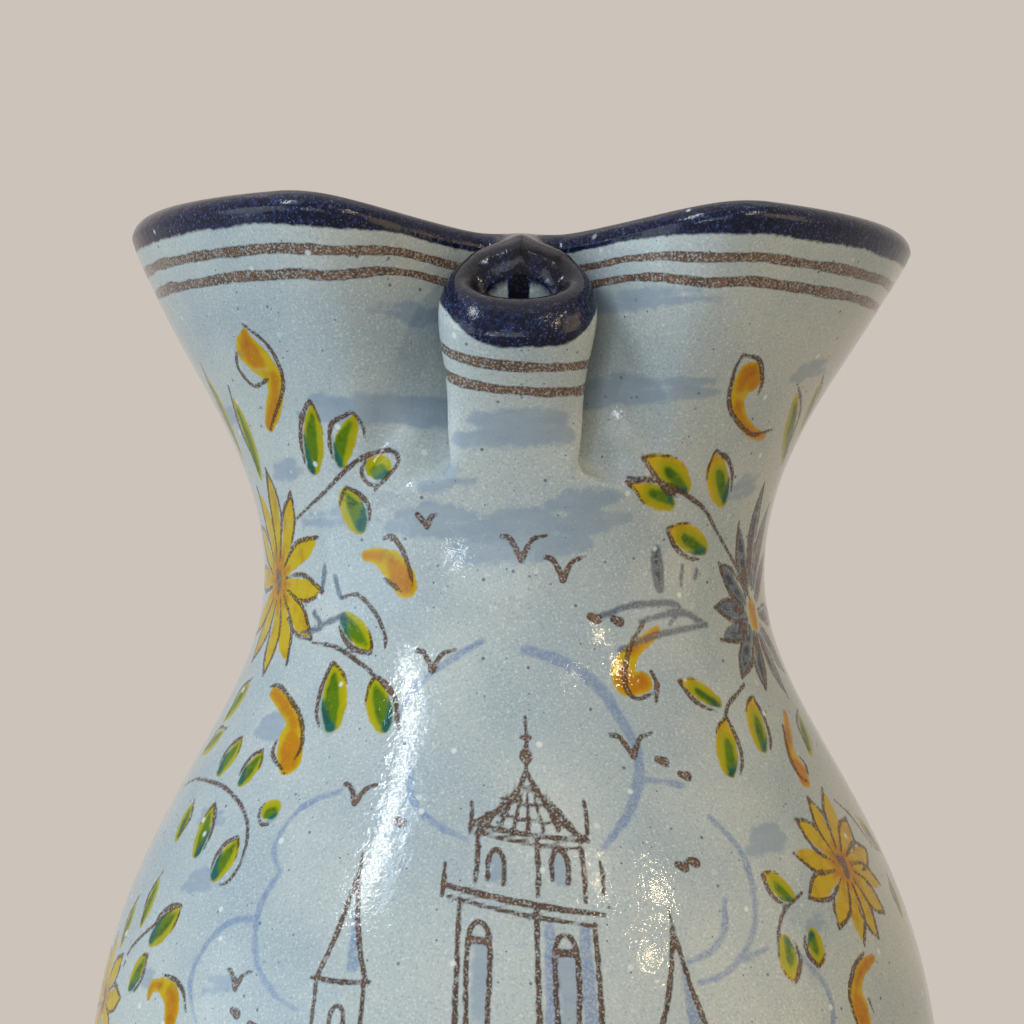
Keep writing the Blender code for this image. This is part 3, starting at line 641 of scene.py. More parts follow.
def wash(at, wide, tall, slant):  # a loaded brush pulled sideways twice
    for dy, share in ((-0.2, 0.9), (0.25, 0.7)):
        brush("wash", [near(at, -wide / 2 * share, dy * tall - slant), near(at, 0, dy * tall),
                       near(at, wide / 2 * share, dy * tall + slant)],
              sized(tall, 0.35, 0.65, 0.6, 0.25))


def paintScene():  # a plain bell tower with a spire each side, standing under the clouds
    def post(a, low, high, wide=1.0):
        brush("brown", [(a, low), (a + 0.15, (low + high) / 2), (a, high)], sized(wide, 0.72, 0.86, 0.66))

    def beam(left, right, wide=1.0):
        mid = ((left[0] + right[0]) / 2, (left[1] + right[1]) / 2 - 0.3)
        brush("brown", [left, mid, right], sized(wide, 0.66, 0.86, 0.6))

    post(1.9, 164.5, 172.6, 0.8)
    brush("brown", [(1.2, 169.6), (2.7, 169.5)], 0.8)
    brush("brown", [(1.9, 167.2), (1.95, 166.6)], 1.9)
    roofLeft, roofRight, apex = (-6.4, 157.4), (10.6, 155.0), (1.9, 164.8)
    brush("brown", [apex, (0.2, 161.6), (-3.0, 158.9), roofLeft], [0.7, 1.0, 0.9])
    brush("brown", [apex, (4.2, 161.0), (7.4, 157.4), roofRight], [0.7, 1.0, 0.9])
    for share in (0.25, 0.5, 0.75):  # tiled roof
        beam(between(apex, roofLeft, share, -0.2), between(apex, roofRight, share, 0.2), 0.7)
    for a in np.linspace(-4.6, 8.8, 7):
        brush("brown", [(1.9 + (a - 1.9) * 0.45, 161.4), (a, 156.6)], [0.45, 0.7])
    beam(roofLeft, roofRight, 1.1)
    beam((-6.0, 156.2), (10.2, 153.8), 0.8)
    for a, low, high in ((-5.4, 149.4, 156.6), (3.2, 147.6, 155.2), (9.6, 146.6, 154.2)):
        post(a, low, high)
    for a in (-6.6, 10.8):
        post(a, 156.0, 160.6, 0.8)
    for a in (-2.6, 6.4):  # bell arches
        brush("brown", [(a - 1.1, 149.8), (a - 1.1, 152.6), (a, 154.0),
                        (a + 1.1, 152.4), (a + 1.1, 149.2)], 0.75)
        brush("wash", [(a, 150.4), (a + 0.1, 152.6)], 2.2)
    beam((-9.8, 149.0), (12.0, 144.8), 1.3)
    beam((-9.0, 147.4), (11.4, 143.2), 0.9)
    for a in (-9.9, 12.2):
        post(a, 147.6, 152.2, 0.8)
    for a, low, high in ((-7.4, 108, 147.2), (2.9, 106.5, 145.4), (10.6, 108, 143.6)):
        post(a, low, high, 1.1)
    for a, top in ((-4.6, 142.6), (6.6, 140.8)):  # tall windows
        brush("brown", [(a - 1.3, top - 13), (a - 1.3, top),
                        (a + 1.3, top - 0.4), (a + 1.3, top - 13.2)], 0.8)
        brush("brown", [(a - 1.2, top - 1.0), (a + 1.2, top - 1.2)], 1.2)
        brush("wash", [(a + 0.3, top - 2), (a + 0.3, top - 11)], 2.6)
    for a in (4.6, 9.2):  # the shaded side of the tower
        brush("cloud", [(a, 143), (a + 0.2, 128), (a, 112)], [1.6, 2.4, 1.4])
    beam((-7.6, 124.6), (10.8, 122.4), 0.9)
    for a, top in ((-4.6, 118.5), (6.6, 117.0)):
        brush("brown", [(a - 1.4, 110), (a - 1.4, top - 2), (a, top),
                        (a + 1.4, top - 2), (a + 1.4, 110)], 0.8)
    for turn, top in ((-22.4, 151.6), (21.2, 143.8)):  # side spires with their houses
        post(turn, top - 4, top + 1.5, 0.7)
        brush("brown", [(turn, top - 1), (turn - 1.4, top - 9), (turn - 3.4, top - 16)], [0.6, 0.9, 0.8])
        brush("brown", [(turn, top - 1), (turn + 1.4, top - 9), (turn + 3.2, top - 15.6)], [0.6, 0.9, 0.8])
        brush("cloud", [(turn + 0.7, top - 6), (turn + 1.5, top - 14)], [0.8, 2.2])
        beam((turn - 4.2, top - 16), (turn + 4.0, top - 16.2), 1.0)
        post(turn - 3.4, 108, top - 16.4)
        post(turn + 3.2, 108, top - 16.4)
        brush("brown", [(turn - 0.9, top - 26), (turn - 0.9, top - 21), (turn, top - 19.6),
                        (turn + 0.9, top - 21), (turn + 0.9, top - 26)], 0.7)
    beam((-19.4, 120.5), (-7.6, 119.4), 1.0)
    beam((10.8, 118.6), (18.0, 119.2), 1.0)
    for k in range(9):  # ground strokes
        a = -26 + 6.6 * k
        for layer, wide in (("yellow", 2.6), ("green", 1.9)):
            brush(layer, [(a, 106.5 + (k % 3)), (a + 3.4, 105.2 + (k % 2)), (a + 6.2, 106.8)],
                  sized(wide, 0.4, 1.0, 0.4))
        brush("brown", [(a + 1, 105 + (k % 2)), (a + 5.6, 104.4 + (k % 3) * 0.5)], [0.5, 0.8, 0.4])


def paintBands():  # two brown lines and a blue one above the foot
    for height, wide in ((29, 1.6), (24.6, 1.4)):
        for start in range(-180, 180, 60):
            path = [(start + k * 15, height + 0.35 * math.sin(start * 0.11 + k * 1.7)) for k in range(5)]
            brush("brown", path, [wide, wide * 0.8, wide])
    for start in range(-180, 180, 40):
        brush("slate", [(start + k * 10, 16.5 + 0.3 * math.sin(start + k)) for k in range(5)], 5.5)


paintScene()
paintSprig(leftSprig)
paintSprig(rightSprig)
paintSprig(leftSprig, -180, -1)
paintSprig(rightSprig, 180, -1)
paintSprig(lowSprig)
for turn, flip in ((0, -1), (-75, 1), (75, -1), (-147, 1)):
    paintSprig(lowSprig, turn, flip)
for path in clouds:
    cloud(path)
cloud(broadCloud, 1.9)
for at, wide, tall, slant in washes:
    wash(at, wide, tall, slant)
    if abs(at[0]) > 24:
        wash((at[0] + (180 if at[0] < 0 else -180), at[1]), wide, tall, -slant)
paintBands()
print("brush strokes", sum(len(s) for s in strokes.values()))

points = skin[:outerRows].reshape(-1, 3) / mm
fields = {name: np.full(skin.shape[:2], unpainted) for name in layers}
for name in layers:
    fields[name][:outerRows] = paintField(points, name).reshape(outerRows, -1)
print("painted")


class Wire:  # a socket that adds nodes when it is used in a sum
    def __init__(self, tree, socket=None):
        self.tree, self.socket = tree, socket

    def node(self, kind, settings, values, output=0):
        made = self.tree.nodes.new(kind)
        for key, value in settings.items():
            setattr(made, key, value)
        for key, value in values.items():
            if isinstance(value, Wire):
                self.tree.links.new(value.socket, made.inputs[key])
            else:
                made.inputs[key].default_value = value
        return Wire(self.tree, made.outputs[output])

    def calc(self, operation, first, second):
        kind = "ShaderNodeVectorMath" if self.socket.type == "VECTOR" else "ShaderNodeMath"
        return self.node(kind, {"operation": operation}, {0: first, 1: second})

    def __add__(self, other):
        return self.calc("ADD", self, other)

    def __sub__(self, other):
        return self.calc("SUBTRACT", self, other)

    def __mul__(self, other):
        return self.calc("MULTIPLY", self, other)

    def __radd__(self, other):
        return self.calc("ADD", other, self)

    def __rsub__(self, other):
        return self.calc("SUBTRACT", other, self)

    def __abs__(self):
        return self.node("ShaderNodeMath", {"operation": "ABSOLUTE"}, {0: self})

    def ramp(self, low, high):  # 0 below low and 1 above high, or the other way round
        ends = {0: self, 1: low, 2: high, 3: 0.0, 4: 1.0}
        return self.node("ShaderNodeMapRange", {"interpolation_type": "SMOOTHSTEP"}, ends)

    def flat(self, value):  # one colour, for others to be mixed into
        made = self.node("ShaderNodeRGB", {}, {})
        made.socket.default_value = value
        return made

    def mixed(self, other, share):  # this colour turned into another one
        return self.node("ShaderNodeMix", {"data_type": "RGBA"}, {0: share, 6: self, 7: other}, 2)

    def noise(self, scale, detail=2.0, rough=0.5):
        values = {"Vector": self, "Scale": scale, "Detail": detail, "Roughness": rough}
        return self.node("ShaderNodeTexNoise", {}, values)

    def into(self, shader, name):
        self.tree.links.new(self.socket, shader.inputs[name])


def colour(r, g, b):  # screen values to the shader's linear ones
    return tuple(c / 3294.6 if c <= 10 else ((c / 255 + 0.055) / 1.055) ** 2.4 for c in (r, g, b)) + (1.0,)


def newMaterial(name):
    made = bpy.data.materials.new(name)
    made.use_nodes = True
    tree = made.node_tree
    at = Wire(tree).node("ShaderNodeTexCoord", {}, {}, "Object")
    return made, tree.nodes["Principled BSDF"], at


glazeLook = dict(
    glaze=colour(178, 187, 186), pooled=colour(159, 173, 179), thin=colour(188, 192, 185),
    crawl=colour(64, 80, 104), pin=colour(212, 219, 217), freckle=colour(128, 143, 156),
    wash=colour(112, 135, 162), cloud=colour(108, 130, 168), lime=colour(148, 154, 0),
    yellow=colour(188, 160, 0), yellowDeep=colour(166, 130, 0),
    orange=colour(178, 118, 0), orangeDeep=colour(156, 92, 0),
    green=colour(80, 114, 0), greenDeep=colour(38, 76, 6),
    teal=colour(14, 90, 84), tealDeep=colour(6, 66, 70),
    slate=colour(58, 72, 98), brown=colour(118, 86, 64), umber=colour(64, 43, 32),
    navy=colour(12, 17, 38), navyLight=colour(46, 60, 108), navyFleck=colour(96, 108, 152),
    worn=colour(24, 20, 18),
    # softness of the edge in mm, share that shows outside the amber
    paints=(("yellow", 0.2, 1.0), ("green", 0.4, 0.0), ("teal", 0.45, 0.35), ("orange", 0.65, 0.0)),
    band=7.4, innerBand=-3.4,  # the blue rim, in mm down from the crest of the lip, outside and inside
    stripes=((11.2, 0.85), (15.3, 0.85)),  # the two brown lines below it, and half their widths
    specular=0.2, rough=0.05, coat=0.06, coatRough=0.06, ripple=0.15, rippleDepth=0.0012)


def glazeMaterial():
    look = glazeLook
    made, shader, at = newMaterial("paintedGlaze")
    cloudy = at.noise(38, 3.0)
    edge = (at.noise(700, 3.0, 0.6) - 0.5) * 0.9  # ragged edge of a brush line, in mm
    grain = at.noise(2600, 2.0, 0.6)
    mottle = at.noise(1500, 3.0, 0.65)
    streak = (at * (160.0, 160.0, 620.0)).noise(1.0, 3.0, 0.6)

    def layer(name):
        return at.node("ShaderNodeAttribute", {"attribute_name": name}, {}, 2)

    def cover(field, soft, ragged=1.0):  # 1 inside the stroke
        return (field + edge * ragged).ramp(soft, -soft)

    def spots(scale, size, share):  # a scatter of round specks, only a share of the cells
        gap, cell = (at.node("ShaderNodeTexVoronoi", {}, {"Vector": at, "Scale": scale}, k) for k in (0, 1))
        drawn = cell.node("ShaderNodeSeparateColor", {}, {0: cell}).ramp(1 - share, 1 - share * 0.6)
        return gap.ramp(size, size * 0.5) * drawn

    # the milky glaze with its specks
    tone = at.flat(look["glaze"]).mixed(look["pooled"], cloudy.ramp(0.36, 0.66))
    tone = tone.mixed(look["thin"], at.noise(95, 2.0).ramp(0.55, 0.75) * 0.35)
    tone = tone.mixed(look["pin"], grain.ramp(0.54, 0.72) * 0.6)
    tone = tone.mixed(look["freckle"], grain.ramp(0.46, 0.3) * 0.5)
    speck = spots(430.0, 0.16, 0.22)
    tone = tone.mixed(look["crawl"], (speck + spots(900.0, 0.2, 0.12)) * 0.75)

    # thin blue, then the colours of the flowers
    loose = layer("wash") + (at.noise(150, 3.0, 0.6) - 0.5) * 4.5
    share = cover(loose, 0.5, 1.5) * (0.3 + streak * 0.44) * grain.ramp(0.14, 0.56) * 1.08
    tone = tone.mixed(look["wash"], share)
    share = cover(layer("cloud"), 0.3, 1.3) * grain.ramp(0.3, 0.58) * (0.45 + streak * 0.7)
    tone = tone.mixed(look["cloud"], share)
    amber = cover(layer("yellow"), 0.2)
    for name, soft, bleed in look["paints"]:
        paint = at.flat(look[name]).mixed(look[name + "Deep"], at.noise(380, 2.0).ramp(0.44, 0.72) * 0.75)
        wet = amber * (1 - bleed) + bleed
        share = cover(layer(name), soft, 0.7) * wet * streak.ramp(-0.3, 0.42) * grain.ramp(0.14, 0.42)
        tone = tone.mixed(paint, share)
        if name == "yellow":
            tone = tone.mixed(look["lime"], layer("green").ramp(1.8, 0.3) * amber * 0.85)
    slate = layer("slate")
    tone = tone.mixed(look["slate"], cover(slate, 0.3) * grain.ramp(0.2, 0.52) * 0.8)
    tone = tone.mixed(look["navy"], (slate + edge).ramp(-0.5, -0.95) * streak.ramp(0.38, 0.56) * 0.75)

    # brown lines and the blue rim
    pools = at.noise(330, 2.0).ramp(0.4, 0.64) * 0.45 + mottle.ramp(0.44, 0.64) * 0.5

    def ink(depth):  # manganese brown, dark along its edges and where it pools
        return at.flat(look["umber"]).mixed(look["brown"], depth.ramp(-0.08, -0.4) * (1.0 - pools))

    line = layer("brown") + edge * 0.7
    tone = tone.mixed(ink(line), line.ramp(0.17, -0.17) * grain.ramp(0.28, 0.5) * 0.96)
    rim, lines = layer("rim"), layer("lines")
    wobble = (at.noise(60, 2.0) - 0.5) * 2.2
    for depth, half in look["stripes"]:
        line = abs(lines + wobble * 0.5 - depth) + edge * 0.7 + (at.noise(150) - 0.5) * 0.9 - half
        tone = tone.mixed(ink(line), line.ramp(0.2, -0.2) * grain.ramp(0.29, 0.53) * 0.96)
    band = (rim + wobble * 0.7 + edge).ramp(look["band"] + 0.3, look["band"] - 0.3)
    band = band * (rim + edge).ramp(look["innerBand"] - 0.5, look["innerBand"] + 0.5)
    navy = at.flat(look["navy"]).mixed(look["navyLight"], mottle.ramp(0.46, 0.72) * 0.75)
    navy = navy.mixed(look["navyFleck"], grain.ramp(0.58, 0.7) * at.noise(200, 2.0).ramp(0.3, 0.55) * 0.8)
    crest = abs(rim + edge).ramp(3.2, 0.6)
    tone = tone.mixed(navy.mixed(look["worn"], crest * 0.75), band)
    tone = tone.mixed(look["pin"], spots(230.0, 0.15, 0.3) * 0.8)  # pinholes that let the white through
    tone.into(shader, "Base Color")

    gloss = look["rough"] + at.noise(240, 3.0) * 0.06 + band * 0.08
    gloss.into(shader, "Roughness")
    shader.inputs["Specular IOR Level"].default_value = look["specular"]
    shader.inputs["Coat Weight"].default_value = look["coat"]
    shader.inputs["Coat Roughness"].default_value = look["coatRough"]
    throwing = (at * (6.0, 6.0, 210.0)).noise(1.0, 2.0)
    relief = at.noise(110, 2.0) * 0.9 + throwing * 0.3 + at.noise(800, 2.0) * 0.42
    relief = relief + at.noise(2400, 1.0) * (0.1 + band * 0.09) - speck * 0.1
    ripple = {"Strength": look["ripple"], "Distance": look["rippleDepth"], "Height": relief}
    at.node("ShaderNodeBump", {}, ripple).into(shader, "Normal")
    return made


clayLook = dict(clay=colour(182, 120, 84), sand=colour(206, 158, 120), dark=colour(128, 82, 60),
                rough=0.82, grit=0.4, gritDepth=0.0006)


def clayMaterial():
    look = clayLook
    made, shader, at = newMaterial("bareClay")
    tone = at.flat(look["clay"]).mixed(look["sand"], at.noise(520, 3.0).ramp(0.5, 0.72))
    tone.mixed(look["dark"], at.noise(60, 3.0).ramp(0.5, 0.8) * 0.5).into(shader, "Base Color")
    (look["rough"] + at.noise(900) * 0.12).into(shader, "Roughness")
    grit = {"Strength": look["grit"], "Distance": look["gritDepth"], "Height": at.noise(800, 4.0, 0.6)}
    at.node("ShaderNodeBump", {}, grit).into(shader, "Normal")
    return made


glaze, clay = glazeMaterial(), clayMaterial()
print("materials made")


# a sheet is a grid of points: closed round its columns, looped over its rows, with faces that end it
def sheet(place, normal, painted=None, closed=True, looped=False, which=0, ends=()):
    return dict(place=place, normal=normal, painted=painted or {}, closed=closed, looped=looped,
                which=which, ends=ends)


def sheetFaces(rows, columns, closed, first, looped=False):
    r = np.arange(rows if looped else rows - 1)[:, None]
    c = np.arange(columns if closed else columns - 1)[None]
    n, up = (c + 1) % columns, (r + 1) % rows
    corners = [r * columns + c, r * columns + n, up * columns + n, up * columns + c]
    return first + np.stack(corners, -1).reshape(-1, 4)


def endFace(rows, columns, end, first):  # one face that closes an open border of a sheet
    grid = first + np.arange(rows * columns).reshape(rows, columns)
    return dict(firstRow=grid[0, ::-1], lastRow=grid[-1], firstColumn=grid[:, 0],
                lastColumn=grid[::-1, -1])[end]


def sheetPiece(name, sheets, replaced, materials=(glaze,)):
    verts, normals, corners, sizes, index = [], [], [], [], []
    values = {key: [] for key in (*layers, "rim", "lines")}
    first = 0
    for each in sheets:
        rows, columns = each["place"].shape[:2]
        verts.append(each["place"].reshape(-1, 3))
        normals.append(each["normal"].reshape(-1, 3))
        quads = sheetFaces(rows, columns, each["closed"], first, each["looped"])
        caps = [endFace(rows, columns, end, first) for end in each["ends"]]
        corners += [quads.ravel(), *caps]
        sizes += [4] * len(quads) + [len(cap) for cap in caps]
        index += [each["which"]] * (len(quads) + len(caps))
        for key in values:
            bare = np.full(rows * columns, unpainted if key in layers else offRim)
            values[key].append(np.asarray(each["painted"].get(key, bare)).ravel())
        first += rows * columns
    verts, normals = np.vstack(verts), np.vstack(normals)
    corners, sizes = np.concatenate(corners), np.array(sizes)
    made = bpy.data.meshes.new(name)
    made.vertices.add(len(verts))
    made.vertices.foreach_set("co", verts.astype(np.float32).ravel())
    made.loops.add(len(corners))
    made.loops.foreach_set("vertex_index", corners.astype(np.int32))
    made.polygons.add(len(sizes))
    made.polygons.foreach_set("loop_start", (np.cumsum(sizes) - sizes).astype(np.int32))
    made.polygons.foreach_set("material_index", np.array(index, np.int32))
    made.update(calc_edges=True)
    for key, parts in values.items():
        attribute = made.attributes.new(key, "FLOAT", "POINT")
        attribute.data.foreach_set("value", np.concatenate(parts).astype(np.float32))
    for each in materials:
        made.materials.append(each)
    made.shade_smooth()
    made.normals_split_custom_set_from_vertices(normals.tolist())
    piece = bpy.data.objects.new(name, made)
    bpy.context.scene.collection.objects.link(piece)
    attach(piece, "root")
    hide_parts(*replaced)


allFields = dict(fields, rim=rimField, lines=lineField)


def cutSkin(rows, columns=None, ends=()):  # a ring of the skin, or part of one, closed inside the wall
    take = slice(None) if columns is None else columns
    picked = {key: field[rows][:, take] for key, field in allFields.items()}
    return sheet(skin[rows][:, take], skinNormal[rows][:, take], picked, columns is None, True, ends=ends)


def ringPiece(name, outside, inside, node):
    a, b = rowsOf[outside]
    c, d = rowsOf[inside]
    rows = np.r_[max(a - 1, 0):b + (outside == "neck"), c - 1:d]
    sheetPiece(name, [cutSkin(rows)], [node])


ringPiece("lowerBody", "low", "lowIn", "lower_body")
ringPiece("upperBody", "mid", "midIn", "upper_body")
ringPiece("neckCollar", "neck", "neckIn", "neck")
total, seamColumn = len(ringStation), mesh["spoutColumns"]
mouthSpan, sides = np.arange(rowsOf["mouth"][0], rowsOf["throat"][1]), ("firstColumn", "lastColumn")
lobeSheet = cutSkin(mouthSpan, np.arange(seamColumn, total - seamColumn + 1), sides)
tubeSheet = cutSkin(mouthSpan, np.arange(-seamColumn, seamColumn + 1) % total, sides)
sheetPiece("mouthFlare", [lobeSheet], ["mouth"])
sheetPiece("spoutTube", [tubeSheet], ["spout"])
print("vessel pieces made")


def turnedSheet(profile, which, ends=(), columns=160):  # (radius, height) points turned round the axis
    profile = np.asarray(profile, float)
    turn = np.linspace(0, math.tau, columns, endpoint=False)
    place = ring(profile[:, 0], profile[:, 1], turn)
    step = np.gradient(profile, axis=0)
    side = np.stack([step[:, 1], -step[:, 0]], 1)
    side /= np.linalg.norm(side, axis=1)[:, None]
    flat, rise = side[:, :1], side[:, 1:]
    normal = np.stack(np.broadcast_arrays(flat * np.sin(turn), -flat * np.cos(turn), rise), -1)
    return sheet(place, normal, which=which, ends=ends)


footLook = dict(radius=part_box("foot")[1].x, bevel=0.0015, glazeLine=0.0035, eye=0.0004, rings=40)


def footProfile(low, high, rows):
    ankle, top = body["ankle"]
    z = np.linspace(low, high, rows)
    share = (z - footLook["bevel"]) / (top - footLook["bevel"])
    return np.stack([footLook["radius"] - (footLook["radius"] - ankle) * np.clip(share, 0, 1) ** 2, z], 1)


def makeFoot():
    bevel, eye, rings = (footLook[k] for k in ("bevel", "eye", "rings"))
    arc = np.linspace(-math.pi / 2, 0, 8)
    edge = np.stack([footLook["radius"] - bevel + bevel * np.cos(arc), bevel + bevel * np.sin(arc)], 1)
    under = np.stack([np.linspace(eye, footLook["radius"] - bevel, rings), np.zeros(rings)], 1)
    bare = np.vstack([edge, footProfile(bevel, footLook["glazeLine"], 6)[1:]])
    glazed = footProfile(footLook["glazeLine"], body["ankle"][1], 12)
    floorRadius = innerAt(np.array([body["floor"]]))[0]
    floor = np.stack([np.linspace(floorRadius, eye, rings), np.full(rings, body["floor"])], 1)
    joint = np.stack([glazed[-1], floor[0]])  # under the wall
    sheets = [turnedSheet(under, 0, ("firstRow",)), turnedSheet(bare, 0), turnedSheet(glazed, 1),
              turnedSheet(joint, 1), turnedSheet(floor, 1, ("lastRow",))]
    sheetPiece("footSlab", sheets, ["foot"], (clay, glaze))


makeFoot()

strap = dict(
    rootHigh=0.230, rootLow=0.134, rootIn=0.008, bend=(0.103, 0.203), lead=(0.024, 0.010), drop=0.024,
    sink=0.003, width=0.026, thick=0.010, lowTaper=0.85, rows=150, columns=72,
    spread=0.0065, spreadReach=0.017,  # the clay wad thumbed out at both roots
    groove=0.16, grooveWidth=0.35,  # shares of the strap's depth and half width
    border=10.2, leafStep=9.5, leafReach=(6.0, 7.2))  # the painting: mm from the middle, rows, rows and mm


def strapPath():
    high = np.array([radiusAt(strap["rootHigh"]) - strap["rootIn"], strap["rootHigh"]])
    low = np.array([radiusAt(strap["rootLow"]) - strap["rootIn"], strap["rootLow"]])
    bend, lead = np.array(strap["bend"]), np.array(strap["lead"])
    fall = np.array([strap["drop"], strap["drop"] / 2])
    first = bezier(high, high + lead, bend + (0, strap["drop"]), bend, 400)
    second = bezier(bend, bend - (0, strap["drop"]), low + fall, low, 400)
    path = np.vstack([first, second[1:]])
    return path[path[:, 0] > radiusAt(path[:, 1]) - strap["sink"]]


def makeHandle():
    path = strapPath()
    far = np.concatenate([[0], np.cumsum(np.linalg.norm(np.diff(path, axis=0), axis=1))])
    share = np.linspace(0, 1, strap["rows"])
    line = np.stack([np.interp(share * far[-1], far, path[:, k]) for k in (0, 1)], 1)
    step = np.gradient(line, axis=0)
    step /= np.linalg.norm(step, axis=1)[:, None]
    out = np.stack([-step[:, 1], step[:, 0]], 1)  # away from the jug
    gap = np.minimum(share, 1 - share) * far[-1]
    root = strap["spread"] * (1 - smooth(gap / strap["spreadReach"])) ** 1.5
    taper = 1 - (1 - strap["lowTaper"]) * share
    turn = np.linspace(0, math.tau, strap["columns"], endpoint=False)
    wide = (strap["width"] / 2 * taper + root)[:, None] * np.sign(np.cos(turn)) * np.abs(np.cos(turn)) ** 0.85
    groove = 1 - strap["groove"] * np.exp(-((np.cos(turn) / strap["grooveWidth"]) ** 2))
    deep = (strap["thick"] / 2 * taper + root * 0.8)[:, None] * np.sin(turn) * groove
    place = np.stack([wide, line[:, :1] + out[:, :1] * deep, line[:, 1:] + out[:, 1:] * deep], -1)
    least = radiusAt(place[..., 2]) - strap["sink"]  # the roots stay inside the wall
    place[..., :2] *= np.maximum(1, least / np.hypot(place[..., 0], place[..., 1]))[..., None]
    across = np.roll(place, -1, 1) - np.roll(place, 1, 1)
    normal = np.cross(across, np.gradient(place, axis=0))
    normal /= np.linalg.norm(normal, axis=2)[..., None] + 1e-15
    middle = np.stack([np.zeros(len(line)), line[:, 0], line[:, 1]], 1)[:, None]
    if ((place - middle) * normal).sum() < 0:
        place, normal = place[:, ::-1], -normal[:, ::-1]

    def onStrap(row, aside):  # a place on the strap's outer face: row along it, mm from its middle
        row = np.clip(row, 0, len(line) - 1)
        half = np.interp(row, np.arange(len(line)), strap["width"] / 2 * taper)
        lift = strap["thick"] / 2 * np.sqrt(np.clip(1 - (aside * mm / half) ** 2, 0, 1))
        y, z = (np.interp(row, np.arange(len(line)), line[:, k] + out[:, k] * lift) for k in (0, 1))
        return np.array([aside, y / mm, z / mm])

    for name in layers:
        strokes[name] = []
    reachDown, reachOut = strap["leafReach"]
    # leaves in pairs down the strap
    for k, row in enumerate(np.arange(20, strap["rows"] - 22, strap["leafStep"])):
        for side in (-1, 1):
            blade = [onStrap(row + reachDown * t, side * (0.6 + reachOut * t)) for t in np.linspace(0, 1, 7)]
            radii = np.array([0.4, 0.8, 1.1, 1.2, 1.0, 0.7, 0.3])
            strokes["slate" if k % 2 else "brown"].append((np.array(blade), radii))
    spine = [onStrap(row, 0.3 * math.sin(row * 0.2)) for row in np.arange(14, strap["rows"] - 14, 2.0)]
    strokes["brown"].append((np.array(spine), np.full(len(spine), 0.55)))
    for side in (-1, 1):
        border = [onStrap(row, side * strap["border"]) for row in np.arange(12, strap["rows"] - 12, 2.0)]
        strokes["slate"].append((np.array(border), np.full(len(border), 0.7)))
    picked = {name: paintField(place.reshape(-1, 3) / mm, name).reshape(place.shape[:2]) for name in layers}
    half, end = strap["rows"] // 2, strap["rows"] - 1
    first = (line[:half, 0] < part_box("handle_upper_pad")[1].y).sum()  # the wads end where the frame's do
    last = end - (line[half:, 0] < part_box("handle_lower_pad")[1].y).sum()
    cuts = dict(upperPad=("handle_upper_pad", 0, first), strapHandle=("handle", first, last),
                lowerPad=("handle_lower_pad", last, end))
    for name, (node, top, bottom) in cuts.items():
        rows = slice(top, bottom + 1)
        painted = {key: field[rows] for key, field in picked.items()}
        part = sheet(place[rows], normal[rows], painted, ends=("firstRow", "lastRow"))
        sheetPiece(name, [part], [node])


makeHandle()
print("foot and handle made")

studio = dict(
    floor=colour(206, 198, 189), floorRadius=0.62, backdrop=colour(204, 195, 186),
    ambient=(0.94, 0.97, 1.0, 1.0), ambientStrength=0.08, aim=(0, 0, 0.17),
    lights=dict(  # place, width, height, power, tint
        pane0=((-0.75, -0.62, 1.26), 0.09, 0.15, 1.7, (0.92, 0.96, 1.0)),  # a window with bars
        pane1=((-0.75, -0.62, 1.05), 0.09, 0.19, 2.1, (0.92, 0.96, 1.0)),
        pane2=((-0.75, -0.62, 0.86), 0.09, 0.14, 1.5, (0.92, 0.96, 1.0)),
        pane3=((-0.66, -0.71, 1.16), 0.035, 0.14, 0.5, (0.50, 0.74, 1.0)),
        pane4=((-0.66, -0.71, 0.90), 0.035, 0.16, 0.5, (0.50, 0.74, 1.0)),
        pane5=((-0.46, -0.98, 0.06), 0.16, 0.07, 0.9, (0.80, 0.90, 1.0)),
        side=((-1.20, -0.44, 0.15), 1.1, 0.9, 8.6, (0.78, 0.92, 1.0)),
        top=((-0.15, 0.05, 1.60), 2.0, 2.0, 8.0, (0.97, 0.99, 1.0)),
        lamp=((0.72, -0.66, 0.86), 0.05, 0.05, 1.2, (1.0, 0.80, 0.52)),  # small warm lights for the gloss
        shade=((0.60, -0.74, 0.62), 0.04, 0.06, 0.8, (1.0, 0.78, 0.48)),
        bulb=((0.46, -0.86, 0.98), 0.035, 0.035, 0.5, (1.0, 0.84, 0.56)),
        glow=((1.20, -0.45, 0.45), 0.8, 0.8, 5.0, (1.0, 0.74, 0.42)),
        front=((-0.30, -1.50, 0.16), 1.0, 0.6, 4.8, (0.90, 0.96, 1.0))))


def makeLight(name, place, wide, tall, power, tint):
    lamp = bpy.data.lights.new(name, "AREA")
    lamp.shape, lamp.size, lamp.size_y, lamp.energy, lamp.color = "RECTANGLE", wide, tall, power, tint
    made = bpy.data.objects.new(name, lamp)
    made.location = place
    made.visible_camera = False
    aim = np.array(studio["aim"]) - np.array(place)
    tilt = math.acos(-aim[2] / np.linalg.norm(aim))
    made.rotation_euler = (tilt, 0, math.atan2(aim[1], aim[0]) - math.pi / 2)
    bpy.context.scene.collection.objects.link(made)


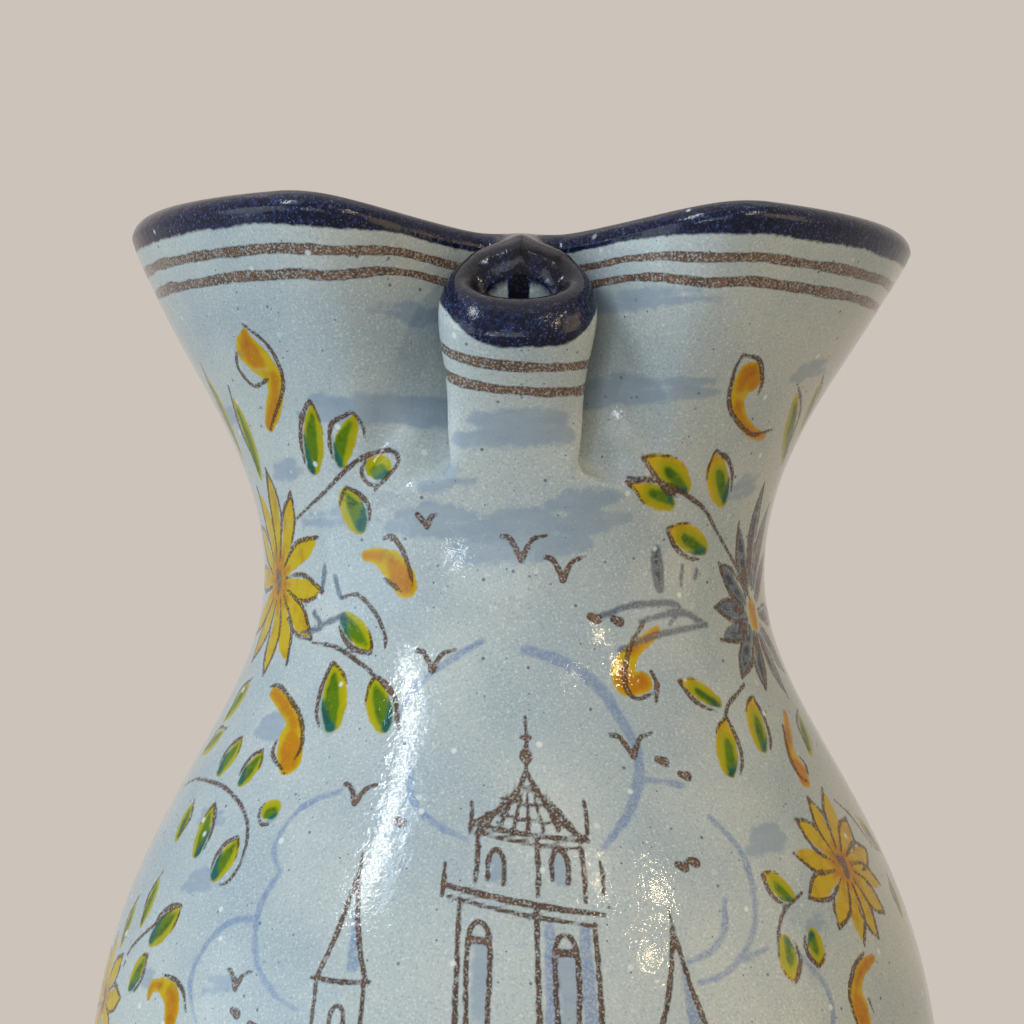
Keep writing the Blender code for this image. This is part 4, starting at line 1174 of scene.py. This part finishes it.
def makeFloor():
    columns, far = 96, studio["floorRadius"]
    radii = np.linspace(0.001, far, 24)
    turn = np.linspace(0, math.tau, columns, endpoint=False)
    place = ring(radii, np.full(len(radii), -0.0002), turn).reshape(-1, 3)
    made = bpy.data.meshes.new("floor")
    made.from_pydata(place.tolist(), [], sheetFaces(len(radii), columns, True, 0)[:, ::-1].tolist())
    floor = bpy.data.objects.new("floor", made)
    bpy.context.scene.collection.objects.link(floor)
    look, shader, at = newMaterial("paleFloor")
    at.flat(studio["floor"]).mixed(studio["backdrop"], at.noise(9)).into(shader, "Base Color")
    shader.inputs["Roughness"].default_value = 0.9
    away = at.node("ShaderNodeVectorMath", {"operation": "LENGTH"}, {0: at}, 1)
    away.ramp(far, far * 0.45).into(shader, "Alpha")  # the floor fades into the backdrop
    made.materials.append(look)


def makeWorld():
    world = bpy.data.worlds.new("studio")
    bpy.context.scene.world = world
    world.use_nodes = True
    tree = world.node_tree
    room = tree.nodes["Background"]
    room.inputs["Color"].default_value = studio["ambient"]
    room.inputs["Strength"].default_value = studio["ambientStrength"]
    start = Wire(tree)
    rays = ("Is Camera Ray", "Is Glossy Ray", "Is Transmission Ray")
    camera, glossy, through = (start.node("ShaderNodeLightPath", {}, {}, ray) for ray in rays)
    wall = start.node("ShaderNodeBackground", {}, {"Color": studio["backdrop"]})
    shades = {0: camera + glossy + through, 1: Wire(tree, room.outputs[0]), 2: wall}
    start.node("ShaderNodeMixShader", {}, shades).into(tree.nodes["World Output"], "Surface")


for name, values in studio["lights"].items():
    makeLight(name, *values)
makeFloor()
makeWorld()

view = dict(place=(0.0, -0.450, 0.196), lens=94.9, tiltUp=1.0, shift=-0.0024)
camera = bpy.data.cameras.new("photoView")
camera.lens, camera.sensor_width, camera.shift_x, camera.clip_start = view["lens"], 36.0, view["shift"], 0.01
cameraObject = bpy.data.objects.new("photoView", camera)
cameraObject.location = view["place"]
cameraObject.rotation_euler = (math.radians(90 + view["tiltUp"]), 0, 0)
bpy.context.scene.collection.objects.link(cameraObject)
bpy.context.scene.camera = cameraObject
bpy.context.scene.view_settings.view_transform = "Standard"
print("studio and camera set")
